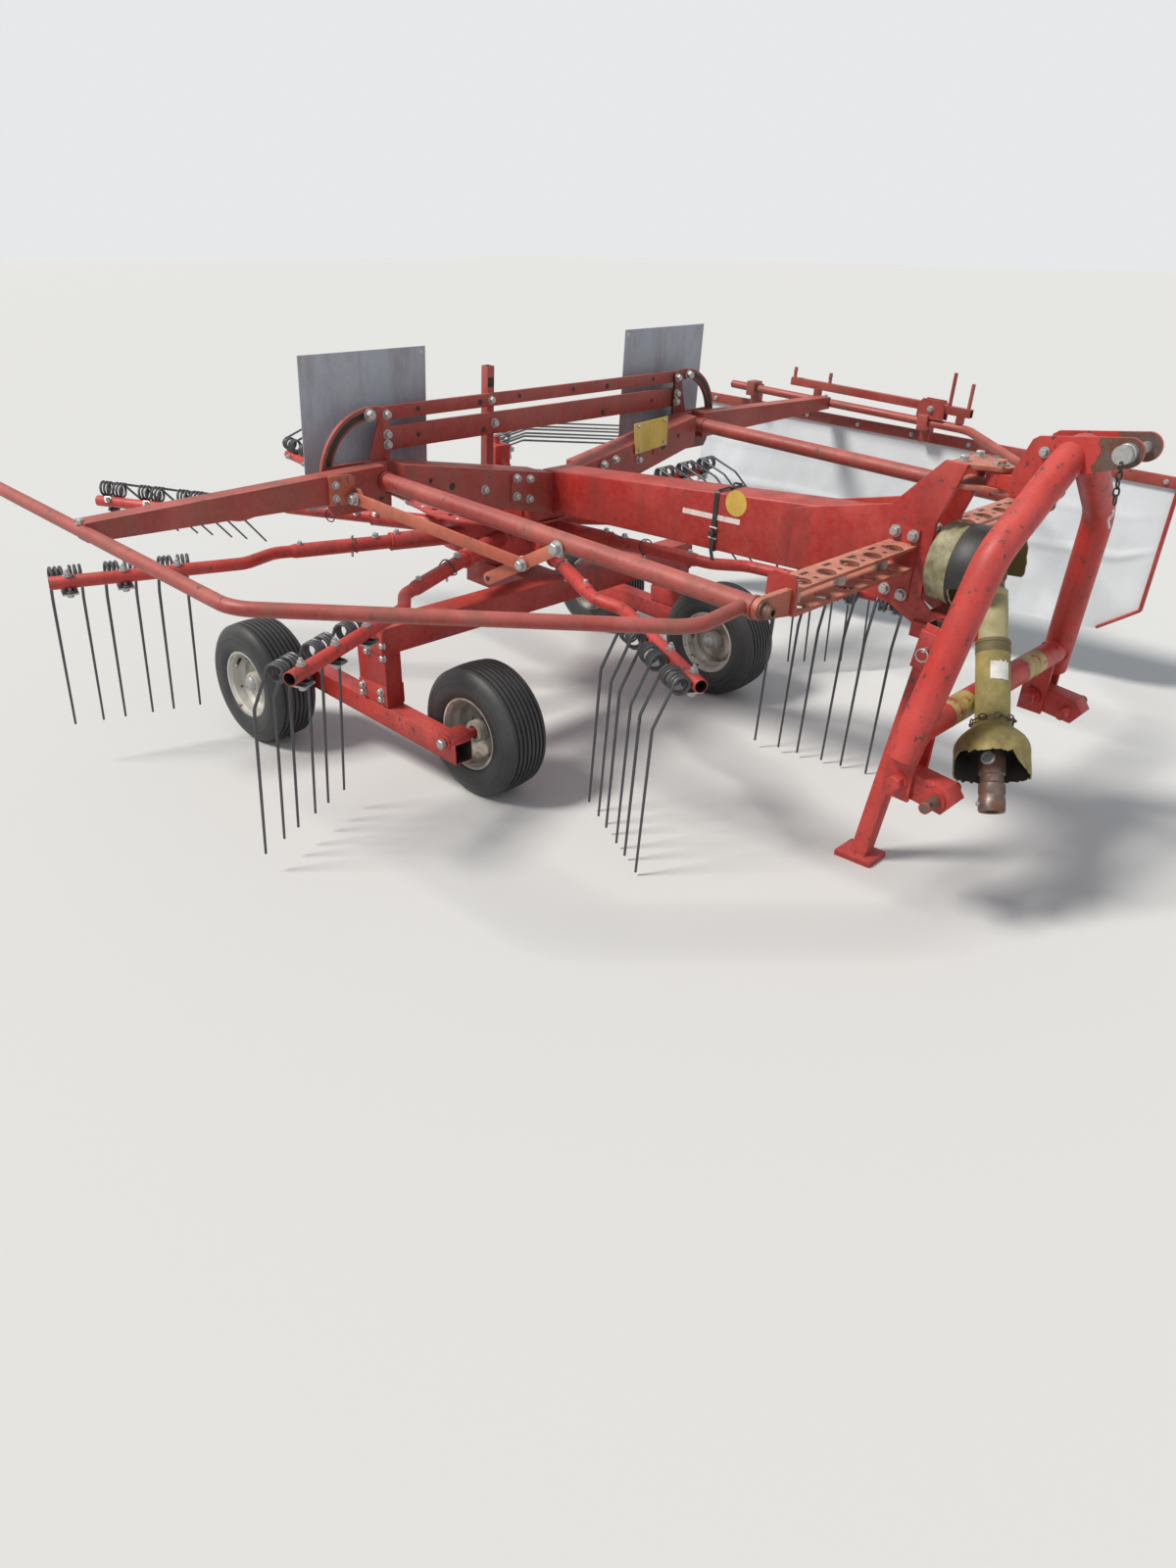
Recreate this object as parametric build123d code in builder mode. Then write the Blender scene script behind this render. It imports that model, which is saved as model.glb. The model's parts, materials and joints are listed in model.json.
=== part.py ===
from build123d import *
import os
from math import cos, radians, sin, tan

# A mounted rotary hay rake: one rotor with nine tine arms under a box beam, a swinging
# three point headstock at the front, four wheels on two walking beams, a folding guard
# on each side and a swath curtain on the left.
# Millimetres. X points forward to the tractor, Y to the left, Z up, ground at Z 0.
# The machine is drawn level about its rotor, then parked nose down on its wheels.

os.makedirs("parts", exist_ok=True)

# How it is parked
ROTOR_X = -385                 # the rotor's axis meets the ground here
ROTOR_Y = -21
NOSE_DOWN = 3.8                # degrees
SIDES = [("left", 1), ("right", -1)]

# Main beam, a tapered box that rises to the front
BEAM_WIDTH = 120
BEAM_REAR, BEAM_FRONT = 280, 1520
BEAM_REAR_Z = (752, 884)
BEAM_FRONT_Z = (828, 1020)
CHEEK = 12                     # side plates of the beam's head

# Headstock
SWING_X = 1745                 # upright pin that the headstock swings on
SWING_PIN = 24
FRAME_TUBE = 76
FRAME_FOOT_X, FRAME_TOP_X = 1850, 1915
FRAME_FOOT_Z, FRAME_TOP_Z = 590, 1225
FRAME_FOOT_Y, FRAME_SHOULDER_Y = 420, 300
CROSS_TUBE = 66
CROSS_TUBE_Z = 650
TOP_PLATE = 10
TOP_PIN_X, TOP_PIN_Z, TOP_PIN = 2036, 1271, 25
TOP_PIN_LENGTH = 170
LOWER_PIN_X, LOWER_PIN_Z, LOWER_PIN = 1943, 510, 28
LOWER_PIN_Y = (300, 455)

# Drive
SHAFT_Z = 930                  # input shaft of the gearbox
INPUT_SHAFT = 36
CUP_RADIUS, CUP_WALL = 105, 4
CUP_X = (1650, 1830)
PTO_X = 1790                   # its upper joint
PTO_JOINT = 66                 # and its size
PTO_LEAN = (28.3, 29)          # degrees forward and to the right
PTO_NECK, PTO_TUBE, PTO_SLEEVE, PTO_BELL = 52, 68, 82, 182
PTO_NECK_END, PTO_SLEEVE_FROM = 60, 176
PTO_BELL_FROM, PTO_BELL_FLARE, PTO_BELL_LENGTH = 385, 40, 125
PTO_BELL_WALL = 6
PTO_LENGTH = 590
YOKE, YOKE_BORE, YOKE_BORE_DEPTH = 62, 35, 70

# Cross member, sectors, links and signs
CROSS_X, CROSS_DEPTH = 291, 90
SECTOR_X, SECTOR_PLATE = 240, 12
HINGE_Y, HINGE_Z, HINGE_TUBE = 712, 946, 48
HINGE_X = (330, 1590)
HINGE_PIN = 24
PIN_ROOM = 0.5                 # round each pin in its hole
SEAT = 0.3                     # between faces of different pieces
LINK_Z = ((1086, 1124), (1003, 1068))
LINK_PLATE = 10
LINK_Y = 650
POST_Y, POST_TUBE, POST_Z = -231, 28, (860, 1200)
SIGN_X, SIGN_PLATE = 165, 3
SIGN_Y = (435, 865)
SIGN_Z = (850, 1262)
SIGN_SPACER = 30

# Guards
GUARD_TUBE = 32
GUARD_SIDE = 1555
GUARD_X = (-170, 940)          # its straight stretch along the side
GUARD_FRONT = (1584, 905)
GUARD_END_X = 1566             # where it comes in to the hinge tube
GUARD_BEND = 110
GUARD_TOP = HINGE_Z + GUARD_TUBE / 2
STRUT_X, STRUT_WIDTH = 300, 50
STRUT_DEPTHS = (85, 45)

# Storage racks for the tine arms, between the beam's head and the front hinge pins
RACK_X, RACK_WIDTH, RACK_PLATE = 1578, 78, 8
RACK_Z = (905, 968)
RACK_END = 600
RACK_FLANGE, RACK_FLANGE_Z = 6, (822, 1006)
RACK_HOLE, RACK_HOLE_STEP, RACK_HOLES = 40, 100, 5
SPACER, SPACER_STEP = 26, 190

# Rotor
HUB_RADIUS, HUB_Z = 195, (570, 700)
DISC_RADIUS, DISC_PLATE = 280, 8
COLUMN_RADIUS = 45
ARM_COUNT = 9
ARM_Z = 632
ARM_PHASE = 12.4
ARM_ASIDE = 90                 # the arms point past the axis by this much
ARM_CRANK = 55
SOCKET_TUBE, SOCKET_END = 58, 420
ARM_TUBE, CARRIER_TUBE = 45, 38
ARM_BEND_AT = (800, 900)
ARM_END = 1450
TINE_WIRE = 10
TINE_DROP = 535
TINE_KNEE = 110
TINE_BACK = 45
TINE_COIL = 58
TINE_AT = (1100, 1250, 1400)
TINE_SPAN = 84
# arm number: how far it has rolled, 0 with its tines down and 90 with them level behind
ARM_ROLLS = [0, 5, 50, 90, 90, 50, 5, 0, 0]

# Axle and wheels
AXLE_X, AXLE_Z, AXLE_TUBE = 270, 464, 85
AXLE_Y = 700
WALK_TUBE = 65
WALK_END = (-215, 655)
WHEEL_RADIUS, WHEEL_WIDTH = 203, 165
WHEEL_FRONT = (613, 576)
WHEEL_REAR = (-213, 823)
RIM_RADIUS = 108
AXLE_PIN = 30

# Parking leg
LEG_TUBE, LEG_Y = 45, -138
LEG_LEAN = 10.4
LEG_LENGTH = 700
LEG_FOOT = 12                  # thickness of its foot plate
LEG_PAD = (110, 90)
SOCKET_AT = (1738, 760)
SOCKET_LENGTH, SOCKET_WALL = 100, 6

# Swath curtain and the storage bar, both on the left guard
CURTAIN_Y = 1610
CURTAIN_X = (-350, 1720)
CURTAIN_TOP, CURTAIN_BOTTOM = (843, 880), (200, 330)
CURTAIN_CUT = (140, 110)
CURTAIN_SHEET = 4
RAIL = 40
RAIL_BRACKETS_X = (-60, 760)
BRACKET_WIDTH, BRACKET_HEIGHT = 40, 90
BAR_X, BAR_Z = (130, 940), 1005
BAR_WIDTH, BAR_HEIGHT = 25, 30
BAR_PEGS = [(140, 40), (310, 40), (925, 90)]
BAR_FEET_X = (260, 900)
PEG = 14

NOSE = radians(NOSE_DOWN)
PARKED = Location((ROTOR_X, ROTOR_Y, 0), (0, NOSE_DOWN, 0))
ON_GROUND = Location((ROTOR_X, ROTOR_Y, 0))


def parked(plane):
    """A plane drawn on the level machine, as it lies on the parked one."""
    return Plane(PARKED * Location(plane))


def side(y):
    """The level machine's X and Z, at this Y."""
    return parked(Plane.XZ.offset(-y))


def deck(z):
    """The level machine's X and Y, at this height."""
    return parked(Plane.XY.offset(z))


def across(x):
    """The level machine's Y and Z, at this X."""
    return parked(Plane.YZ.offset(x))


def at(x, y, z):
    """A place on the level machine."""
    return PARKED * Location((x, y, z))


def ground(x, y, z):
    """A place over the ground, measured from below the rotor."""
    return ON_GROUND * Location((x, y, z))


def ground_side(y):
    """Upright plane along the ground at this Y."""
    return Plane(ON_GROUND * Location(Plane.XZ.offset(-y)))


def ground_point(x, z):
    """Where a point of the level machine comes to lie once it is parked."""
    return (x * cos(NOSE) + z * sin(NOSE), z * cos(NOSE) - x * sin(NOSE))


# Main beam with the gearbox housing at its rear end
with BuildPart() as main_beam:
    with BuildSketch(side(0)):
        with BuildLine():
            Polyline((BEAM_REAR, BEAM_REAR_Z[0]), (BEAM_FRONT, BEAM_FRONT_Z[0]),
                     (BEAM_FRONT, BEAM_FRONT_Z[1]), (BEAM_REAR, BEAM_REAR_Z[1]), close=True)
        make_face()
    extrude(amount=BEAM_WIDTH / 2, both=True)
main_beam.part.label = "main_beam"
export_step(main_beam.part, "parts/main_beam.step")

GEAR_TOP = 812
GEARBOX_SIDE, GEARBOX_REAR = 90, -110
DISC_ROOM = 4                  # between the gearbox and the turning disc
GEARBOX_FLOOR = HUB_Z[1] + DISC_PLATE + DISC_ROOM
with BuildPart() as gearbox:
    with BuildSketch(deck(GEARBOX_FLOOR)):
        with BuildLine():
            Polyline((GEARBOX_REAR, -GEARBOX_SIDE), (BEAM_REAR, -GEARBOX_SIDE),
                     (BEAM_REAR, GEARBOX_SIDE), (GEARBOX_REAR, GEARBOX_SIDE), close=True)
        make_face()
    extrude(amount=GEAR_TOP - GEARBOX_FLOOR)
gearbox.part.label = "gearbox"
export_step(gearbox.part, "parts/gearbox.step")

# Head of the height screw: a block on top of the gearbox with a sloping web in front
SCREW_HEAD, SCREW_TOP, SCREW_NECK = 68, 905, 24
SCREW_WEB, SCREW_WEB_REACH = 12, 100
with BuildPart() as height_screw:
    with Locations(at(0, 0, GEAR_TOP)):
        Box(SCREW_HEAD, SCREW_HEAD, SCREW_TOP - GEAR_TOP, align=(Align.CENTER, Align.CENTER, Align.MIN))
        Cylinder(SCREW_NECK / 2, SCREW_TOP + SCREW_NECK - GEAR_TOP,
                 align=(Align.CENTER, Align.CENTER, Align.MIN))
    with BuildSketch(side(0)):
        with BuildLine():
            Polyline((0, GEAR_TOP), (SCREW_WEB_REACH, GEAR_TOP), (SCREW_HEAD / 2, (GEAR_TOP + SCREW_TOP) / 2),
                     (0, (GEAR_TOP + SCREW_TOP) / 2), close=True)
        make_face()
    extrude(amount=SCREW_WEB / 2, both=True)
height_screw.part.label = "height_screw"
export_step(height_screw.part, "parts/height_screw.step")

# Side plates of the beam's head, hollowed in front round the drive's cup
CHEEK_NOSE = 1705
CHEEK_OUTLINE = [(1250, 818), (1250, 980), (1524, 1052), (1640, 1181), (1700, 1181), (1650, 1030),
                 (1650, 840), (CHEEK_NOSE, 795), (CHEEK_NOSE, 744), (1572, 804), (1400, 836)]
with BuildPart() as beam_head:
    for word, hand in SIDES:
        with BuildSketch(side(hand * (BEAM_WIDTH / 2 + CHEEK / 2))):
            with BuildLine():
                Polyline(*CHEEK_OUTLINE, close=True)
            make_face()
        extrude(amount=CHEEK / 2, both=True)
beam_head.part.label = "beam_head"
export_step(beam_head.part, "parts/beam_head.step")

# The two forks that hold the headstock's upright pin
FORK_PLATE = 12
FORK_GAP = 36
FORK_MIDDLES = {"upper": 1151, "lower": 774}
FORK_REAR = {"upper": 1650, "lower": 1660}
FORK_CORNER = 1700
LUG_RADIUS = 32
SWING_PIN_OUT = 12             # how far the pin stands out of its fork
for word, middle in FORK_MIDDLES.items():
    with BuildPart() as swing_fork:
        for level in (middle - FORK_GAP / 2 - FORK_PLATE, middle + FORK_GAP / 2):
            with BuildSketch(deck(level)):
                with BuildLine():
                    Polyline((FORK_REAR[word], -BEAM_WIDTH / 2), (FORK_CORNER, -BEAM_WIDTH / 2),
                             (SWING_X, -LUG_RADIUS), (SWING_X, LUG_RADIUS),
                             (FORK_CORNER, BEAM_WIDTH / 2), (FORK_REAR[word], BEAM_WIDTH / 2), close=True)
                make_face()
                with Locations((SWING_X, 0)):
                    Circle(LUG_RADIUS)
            extrude(amount=FORK_PLATE)
        with Locations(at(SWING_X, 0, middle)):
            Cylinder(SWING_PIN / 2, FORK_GAP + 2 * (FORK_PLATE + SWING_PIN_OUT))
    swing_fork.part.label = f"{word}_fork"
    export_step(swing_fork.part, f"parts/{word}_fork.step")

# Cross member, rising to the hinges of the guards, and the hinge yokes at its ends
CROSS_MIDDLE_Z = (752, 872)
CROSS_END_Z = (888, 985)
CROSS_END_Y = 655
END_PLATE = 16
YOKE_HEIGHT, YOKE_LAP = 70, 24
REAR_PIN_X, REAR_PIN = 310, 220
with BuildPart() as cross_member:
    with BuildSketch(across(CROSS_X)):
        with BuildLine():
            Polyline((BEAM_WIDTH / 2, CROSS_MIDDLE_Z[0]), (CROSS_END_Y, CROSS_END_Z[0]),
                     (CROSS_END_Y, CROSS_END_Z[1]), (0, CROSS_MIDDLE_Z[1]),
                     (-CROSS_END_Y, CROSS_END_Z[1]), (-CROSS_END_Y, CROSS_END_Z[0]),
                     (-BEAM_WIDTH / 2, CROSS_MIDDLE_Z[0]), close=True)
        make_face()
    extrude(amount=CROSS_DEPTH / 2, both=True)
    with Locations(at(BEAM_REAR, 0, sum(CROSS_MIDDLE_Z) / 2)):
        for width, behind in ((2 * GEARBOX_SIDE, Align.MAX), (BEAM_WIDTH, Align.MIN)):
            Box(CROSS_DEPTH, width, CROSS_END_Z[1], mode=Mode.SUBTRACT,
                align=(behind, Align.CENTER, Align.CENTER))
    for word, hand in SIDES:
        with Locations(at(SECTOR_X + (SECTOR_PLATE + END_PLATE) / 2, hand * (CROSS_END_Y + HINGE_Y) / 2,
                          HINGE_Z)):
            Box(END_PLATE, HINGE_Y - CROSS_END_Y + YOKE_LAP, YOKE_HEIGHT)
        with Locations(at(REAR_PIN_X, hand * HINGE_Y, HINGE_Z) * Rotation(0, 90, 0)):
            Cylinder(HINGE_PIN / 2, REAR_PIN)
cross_member.part.label = "cross_member"
export_step(cross_member.part, "parts/cross_member.step")

# Locking sectors, plates with a curved slot about each guard's hinge
SECTOR_RADIUS = 176
SECTOR_Y, SECTOR_Z = 690, 953
SECTOR_INNER = HINGE_Y - 80     # its inner edge, past the hinge pin's hole
SECTOR_FLOOR = 846
SECTOR_BAND = 34               # width of its arc, outside the window
SECTOR_LEG = (654, 700)        # top and foot of the window's inner edge
WINDOW_FLOOR = 985
for word, hand in SIDES:
    with BuildPart() as sector:
        with BuildSketch(across(SECTOR_X)):
            with Locations((hand * SECTOR_Y, SECTOR_Z)):
                Circle(SECTOR_RADIUS)
            with Locations((hand * SECTOR_INNER / 2, SECTOR_Z)):
                Rectangle(SECTOR_INNER, 3 * SECTOR_RADIUS, mode=Mode.SUBTRACT)
            with Locations((hand * SECTOR_Y, SECTOR_FLOOR - 2 * SECTOR_RADIUS)):
                Rectangle(4 * SECTOR_RADIUS, 4 * SECTOR_RADIUS, mode=Mode.SUBTRACT)
            with Locations((hand * HINGE_Y, HINGE_Z)):
                Circle(HINGE_PIN / 2 + PIN_ROOM, mode=Mode.SUBTRACT)
        extrude(amount=SECTOR_PLATE / 2, both=True)
        with BuildSketch(across(SECTOR_X)):
            with Locations((hand * SECTOR_Y, SECTOR_Z)):
                Circle(SECTOR_RADIUS - SECTOR_BAND)
            with BuildLine():
                Polyline((hand * SECTOR_LEG[0], SECTOR_Z + SECTOR_RADIUS),
                         (hand * SECTOR_LEG[1], WINDOW_FLOOR),
                         (hand * (SECTOR_Y + SECTOR_RADIUS), WINDOW_FLOOR),
                         (hand * (SECTOR_Y + SECTOR_RADIUS), SECTOR_Z + SECTOR_RADIUS), close=True)
            make_face(mode=Mode.INTERSECT)
        extrude(amount=SECTOR_PLATE, both=True, mode=Mode.SUBTRACT)
    sector.part.label = f"sector_{word}"
    export_step(sector.part, f"parts/sector_{word}.step")

# Flat bars behind the sectors that tie them together, with a post down to the cross member
LINK_X = SECTOR_X - SECTOR_PLATE / 2 - LINK_PLATE / 2
CROSS_REAR = CROSS_X - CROSS_DEPTH / 2
POST_FOOT = 40
with BuildPart() as link_bars:
    for bottom, top in LINK_Z:
        with Locations(at(LINK_X, 0, (bottom + top) / 2)):
            Box(LINK_PLATE, 2 * LINK_Y, top - bottom)
    with Locations(at(LINK_X - (LINK_PLATE + POST_TUBE) / 2, POST_Y, sum(POST_Z) / 2)):
        Box(POST_TUBE, POST_TUBE, POST_Z[1] - POST_Z[0])
    with Locations(at((LINK_X - LINK_PLATE / 2 + CROSS_REAR) / 2, POST_Y, POST_Z[0] + POST_FOOT / 2)):
        Box(CROSS_REAR - LINK_X + LINK_PLATE / 2, POST_TUBE, POST_FOOT)
link_bars.part.label = "link_bars"
export_step(link_bars.part, "parts/link_bars.step")

# Sign plates behind the sectors
for word, hand in SIDES:
    with BuildPart() as sign_plate:
        with Locations(at(SIGN_X, hand * sum(SIGN_Y) / 2, sum(SIGN_Z) / 2)):
            Box(SIGN_PLATE, SIGN_Y[1] - SIGN_Y[0], SIGN_Z[1] - SIGN_Z[0])
        with Locations(at((SIGN_X + SECTOR_X - SECTOR_PLATE / 2) / 2, hand * SECTOR_Y,
                          (SECTOR_FLOOR + HINGE_Z) / 2)):
            Box(SECTOR_X - SIGN_X - SECTOR_PLATE / 2, SIGN_SPACER, SIGN_SPACER)
    sign_plate.part.label = f"sign_plate_{word}"
    export_step(sign_plate.part, f"parts/sign_plate_{word}.step")

# Storage racks, each with a bolted flange on the beam's head and a hinge yoke at its other end
RACK_START = BEAM_WIDTH / 2 + CHEEK + SEAT
RACK_FIRST_HOLE, RACK_HOLES_AHEAD = 70, 10
SPACER_FIRST, SPACERS = 76, 3
YOKE_PIN = 90
YOKE_X = HINGE_X[1] + END_PLATE / 2 + 2
for word, hand in SIDES:
    with BuildPart() as arm_rack:
        with Locations(at(RACK_X, hand * (RACK_START + RACK_FLANGE / 2), sum(RACK_FLANGE_Z) / 2)):
            Box(RACK_WIDTH, RACK_FLANGE, RACK_FLANGE_Z[1] - RACK_FLANGE_Z[0])
        for level in (RACK_Z[0], RACK_Z[1] - RACK_PLATE):
            with BuildSketch(deck(level)):
                with Locations((RACK_X, hand * (RACK_START + RACK_END) / 2)):
                    Rectangle(RACK_WIDTH, RACK_END - RACK_START)
                for step in range(RACK_HOLES):
                    with Locations((RACK_X + RACK_HOLES_AHEAD,
                                    hand * (RACK_START + RACK_FIRST_HOLE + RACK_HOLE_STEP * step))):
                        Circle(RACK_HOLE / 2, mode=Mode.SUBTRACT)
            extrude(amount=RACK_PLATE)
        for step in range(SPACERS):
            spacer_y = RACK_START + SPACER_FIRST + SPACER_STEP * step
            with Locations(at(RACK_X - RACK_WIDTH / 2 + SPACER, hand * spacer_y, sum(RACK_Z) / 2)):
                Cylinder(SPACER / 2, RACK_Z[1] - RACK_Z[0] - RACK_PLATE)
        with Locations(at(RACK_X, hand * (RACK_END - RACK_PLATE / 2), sum(RACK_Z) / 2)):
            Box(RACK_WIDTH, RACK_PLATE, RACK_Z[1] - RACK_Z[0])
        with BuildSketch(across(YOKE_X)):
            with BuildLine():
                Polyline((hand * (RACK_END - RACK_PLATE), RACK_Z[0]),
                         (hand * (RACK_END - RACK_PLATE), RACK_Z[1]),
                         (hand * HINGE_Y, HINGE_Z + HINGE_TUBE / 2),
                         (hand * HINGE_Y, HINGE_Z - HINGE_TUBE / 2), close=True)
            make_face()
            with Locations((hand * HINGE_Y, HINGE_Z)):
                Circle(HINGE_TUBE / 2)
        extrude(amount=END_PLATE / 2, both=True)
        with Locations(at(YOKE_X - YOKE_PIN / 3, hand * HINGE_Y, HINGE_Z) * Rotation(0, 90, 0)):
            Cylinder(HINGE_PIN / 2, YOKE_PIN)
    arm_rack.part.label = f"arm_rack_{word}"
    export_step(arm_rack.part, f"parts/arm_rack_{word}.step")

# Guards: a hinge tube, a bent outer tube and a tapered strut
# middle and length of the bores for the hinge pins, rear and front
HINGE_BORES = ((STRUT_X - 70, 800), (HINGE_X[1], 200))
for word, hand in SIDES:
    with BuildPart() as guard:
        with Locations(at(sum(HINGE_X) / 2, hand * HINGE_Y, HINGE_Z) * Rotation(0, 90, 0)):
            Cylinder(HINGE_TUBE / 2, HINGE_X[1] - HINGE_X[0])
        with BuildLine(deck(HINGE_Z)) as outline:
            FilletPolyline((GUARD_X[0], hand * GUARD_SIDE), (GUARD_X[1], hand * GUARD_SIDE),
                           (GUARD_FRONT[0], hand * GUARD_FRONT[1]), (GUARD_END_X, hand * HINGE_Y),
                           radius=GUARD_BEND)
        with BuildSketch(Plane(outline.line @ 0, z_dir=outline.line % 0)):
            Circle(GUARD_TUBE / 2)
        sweep(path=outline.line)
        with BuildSketch(across(STRUT_X)):
            with BuildLine():
                Polyline((hand * HINGE_Y, HINGE_Z - STRUT_DEPTHS[0] / 2),
                         (hand * HINGE_Y, HINGE_Z + STRUT_DEPTHS[0] / 2),
                         (hand * GUARD_SIDE, HINGE_Z + STRUT_DEPTHS[1] / 2),
                         (hand * GUARD_SIDE, HINGE_Z - STRUT_DEPTHS[1] / 2), close=True)
            make_face()
        extrude(amount=STRUT_WIDTH / 2, both=True)
        with Locations(at((STRUT_X + HINGE_X[0]) / 2, hand * HINGE_Y, HINGE_Z) * Rotation(0, 90, 0)):
            Cylinder(HINGE_TUBE / 2, HINGE_X[0] - STRUT_X + STRUT_WIDTH)
        for middle, length in HINGE_BORES:
            with Locations(at(middle, hand * HINGE_Y, HINGE_Z) * Rotation(0, 90, 0)):
                Cylinder(HINGE_PIN / 2 + PIN_ROOM, length, mode=Mode.SUBTRACT)
    guard.part.label = f"guard_{word}"
    export_step(guard.part, f"parts/guard_{word}.step")

# Headstock: a bent tube that leans forward, a cross tube, the top link's plates and the lugs
# of the upright pin
LEAN_LENGTH = ((FRAME_TOP_X - FRAME_FOOT_X) ** 2 + (FRAME_TOP_Z - FRAME_FOOT_Z) ** 2) ** 0.5
LEAN = ((FRAME_TOP_X - FRAME_FOOT_X) / LEAN_LENGTH, (FRAME_TOP_Z - FRAME_FOOT_Z) / LEAN_LENGTH)
frame_plane = parked(Plane(origin=(FRAME_FOOT_X, 0, FRAME_FOOT_Z), x_dir=(0, 1, 0),
                           z_dir=(LEAN[1], 0, -LEAN[0])))
FRAME_SHOULDER, FRAME_PEAK, FRAME_BEND = 470, 690, 130
CROSS_TUBE_X = FRAME_FOOT_X + (CROSS_TUBE_Z - FRAME_FOOT_Z) * LEAN[0] / LEAN[1]
FOOT_PLATE, FOOT_GAP, FOOT_Y = 10, 56, 370
FOOT_BOLT_X, FOOT_BOLT_Z, FOOT_BOLT = 1846, 525, 24
TOP_PLATES_Y = 55
TOP_NOSE = 32                  # the plates' rounded end about the top link's pin
TOP_REAR = (1829, 1262)
TOP_CORNER = (12, 9)            # its chamfered rear corner
TOP_FLOOR = 1133
LOWER_WEB = 50
WEB_X = 1840
# the plates' foot, from the web and the floor of the plates
TOP_FOOT = [(13, 40), (10, 0), (-40, 0), (-40, 50)]
# foot plates, from the foot of the bent tube
FOOT_OUTLINE = [(-38, -110), (-38, 10), (-15, 90), (30, 90), (30, -110)]
LUG_ROOM, LUG_NECK = 2, 22      # over and under each lug in its fork, and half its neck
TONGUE_LAP, TONGUE_HALF = 25, 16
# the lower lug's tongue where it meets the cross tube, from the tube's middle
TONGUE_FOOT = [(24, 18), (-6, 0), (-26, 15)]
CROSS_TUBE_SHORT = 25
with BuildPart() as headstock:
    with BuildLine(frame_plane) as bend:
        FilletPolyline((-FRAME_FOOT_Y, 0), (-FRAME_SHOULDER_Y, FRAME_SHOULDER), (0, FRAME_PEAK),
                       (FRAME_SHOULDER_Y, FRAME_SHOULDER), (FRAME_FOOT_Y, 0), radius=FRAME_BEND)
    with BuildSketch(Plane(bend.line @ 0, z_dir=bend.line % 0)):
        Circle(FRAME_TUBE / 2)
    sweep(path=bend.line)
    with Locations(at(CROSS_TUBE_X, 0, CROSS_TUBE_Z) * Rotation(90, 0, 0)):
        Cylinder(CROSS_TUBE / 2, 2 * (FRAME_FOOT_Y - CROSS_TUBE_SHORT))
    for hand in (-1, 1):
        with BuildSketch(side(hand * TOP_PLATES_Y)):
            with BuildLine():
                Polyline(TOP_REAR, (TOP_REAR[0] + TOP_CORNER[0], TOP_REAR[1] + TOP_CORNER[1]),
                         (TOP_PIN_X, TOP_PIN_Z + TOP_NOSE), (TOP_PIN_X, TOP_PIN_Z - TOP_NOSE),
                         *[(WEB_X + ahead, TOP_FLOOR + rise) for ahead, rise in TOP_FOOT], close=True)
            make_face()
            with Locations((TOP_PIN_X, TOP_PIN_Z)):
                Circle(TOP_NOSE)
            with Locations((TOP_PIN_X, TOP_PIN_Z)):
                Circle(TOP_PIN / 2 + PIN_ROOM, mode=Mode.SUBTRACT)
        extrude(amount=TOP_PLATE / 2, both=True)
        for reach in (-1, 1):
            with BuildSketch(side(hand * (FOOT_Y + reach * (FOOT_GAP + FOOT_PLATE) / 2))):
                with BuildLine():
                    Polyline(*[(FRAME_FOOT_X + ahead, FRAME_FOOT_Z + rise) for ahead, rise in FOOT_OUTLINE],
                             close=True)
                make_face()
                with Locations((FOOT_BOLT_X, FOOT_BOLT_Z)):
                    Circle(FOOT_BOLT / 2 + SEAT, mode=Mode.SUBTRACT)
            extrude(amount=FOOT_PLATE / 2, both=True)
    for middle, width in ((FORK_MIDDLES["upper"], 2 * TOP_PLATES_Y), (FORK_MIDDLES["lower"], LOWER_WEB)):
        with Locations(at(SWING_X, 0, middle)):
            Cylinder(LUG_RADIUS - 2 * LUG_ROOM, FORK_GAP - 2 * LUG_ROOM)
        with BuildSketch(deck(middle - FORK_GAP / 2 + LUG_ROOM)):
            with BuildLine():
                Polyline((SWING_X, -LUG_NECK), (WEB_X, -width / 2), (WEB_X, width / 2), (SWING_X, LUG_NECK),
                         close=True)
            make_face()
        extrude(amount=FORK_GAP - 2 * LUG_ROOM)
    with BuildSketch(side(0)):
        with BuildLine():
            Polyline((WEB_X - TONGUE_LAP, FORK_MIDDLES["lower"] - TONGUE_HALF),
                     (WEB_X - TONGUE_LAP, FORK_MIDDLES["lower"] + TONGUE_HALF),
                     (WEB_X, FORK_MIDDLES["lower"] + TONGUE_HALF),
                     *[(CROSS_TUBE_X + ahead, CROSS_TUBE_Z + rise) for ahead, rise in TONGUE_FOOT],
                     close=True)
        make_face()
    extrude(amount=LOWER_WEB / 2, both=True)
    for middle in FORK_MIDDLES.values():
        with Locations(at(SWING_X, 0, middle)):
            Cylinder(SWING_PIN / 2 + PIN_ROOM, 3 * FORK_GAP, mode=Mode.SUBTRACT)
headstock.part.label = "headstock"
export_step(headstock.part, "parts/headstock.step")

PIN_HEAD, PIN_HEAD_LENGTH = 40, 12
with BuildPart() as top_link_pin:
    with Locations(at(TOP_PIN_X, 0, TOP_PIN_Z) * Rotation(90, 0, 0)):
        Cylinder(TOP_PIN / 2, TOP_PIN_LENGTH)
    with Locations(at(TOP_PIN_X, -(TOP_PIN_LENGTH + PIN_HEAD_LENGTH) / 2, TOP_PIN_Z) * Rotation(90, 0, 0)):
        Cylinder(PIN_HEAD / 2, PIN_HEAD_LENGTH)
top_link_pin.part.label = "top_link_pin"
export_step(top_link_pin.part, "parts/top_link_pin.step")

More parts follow.
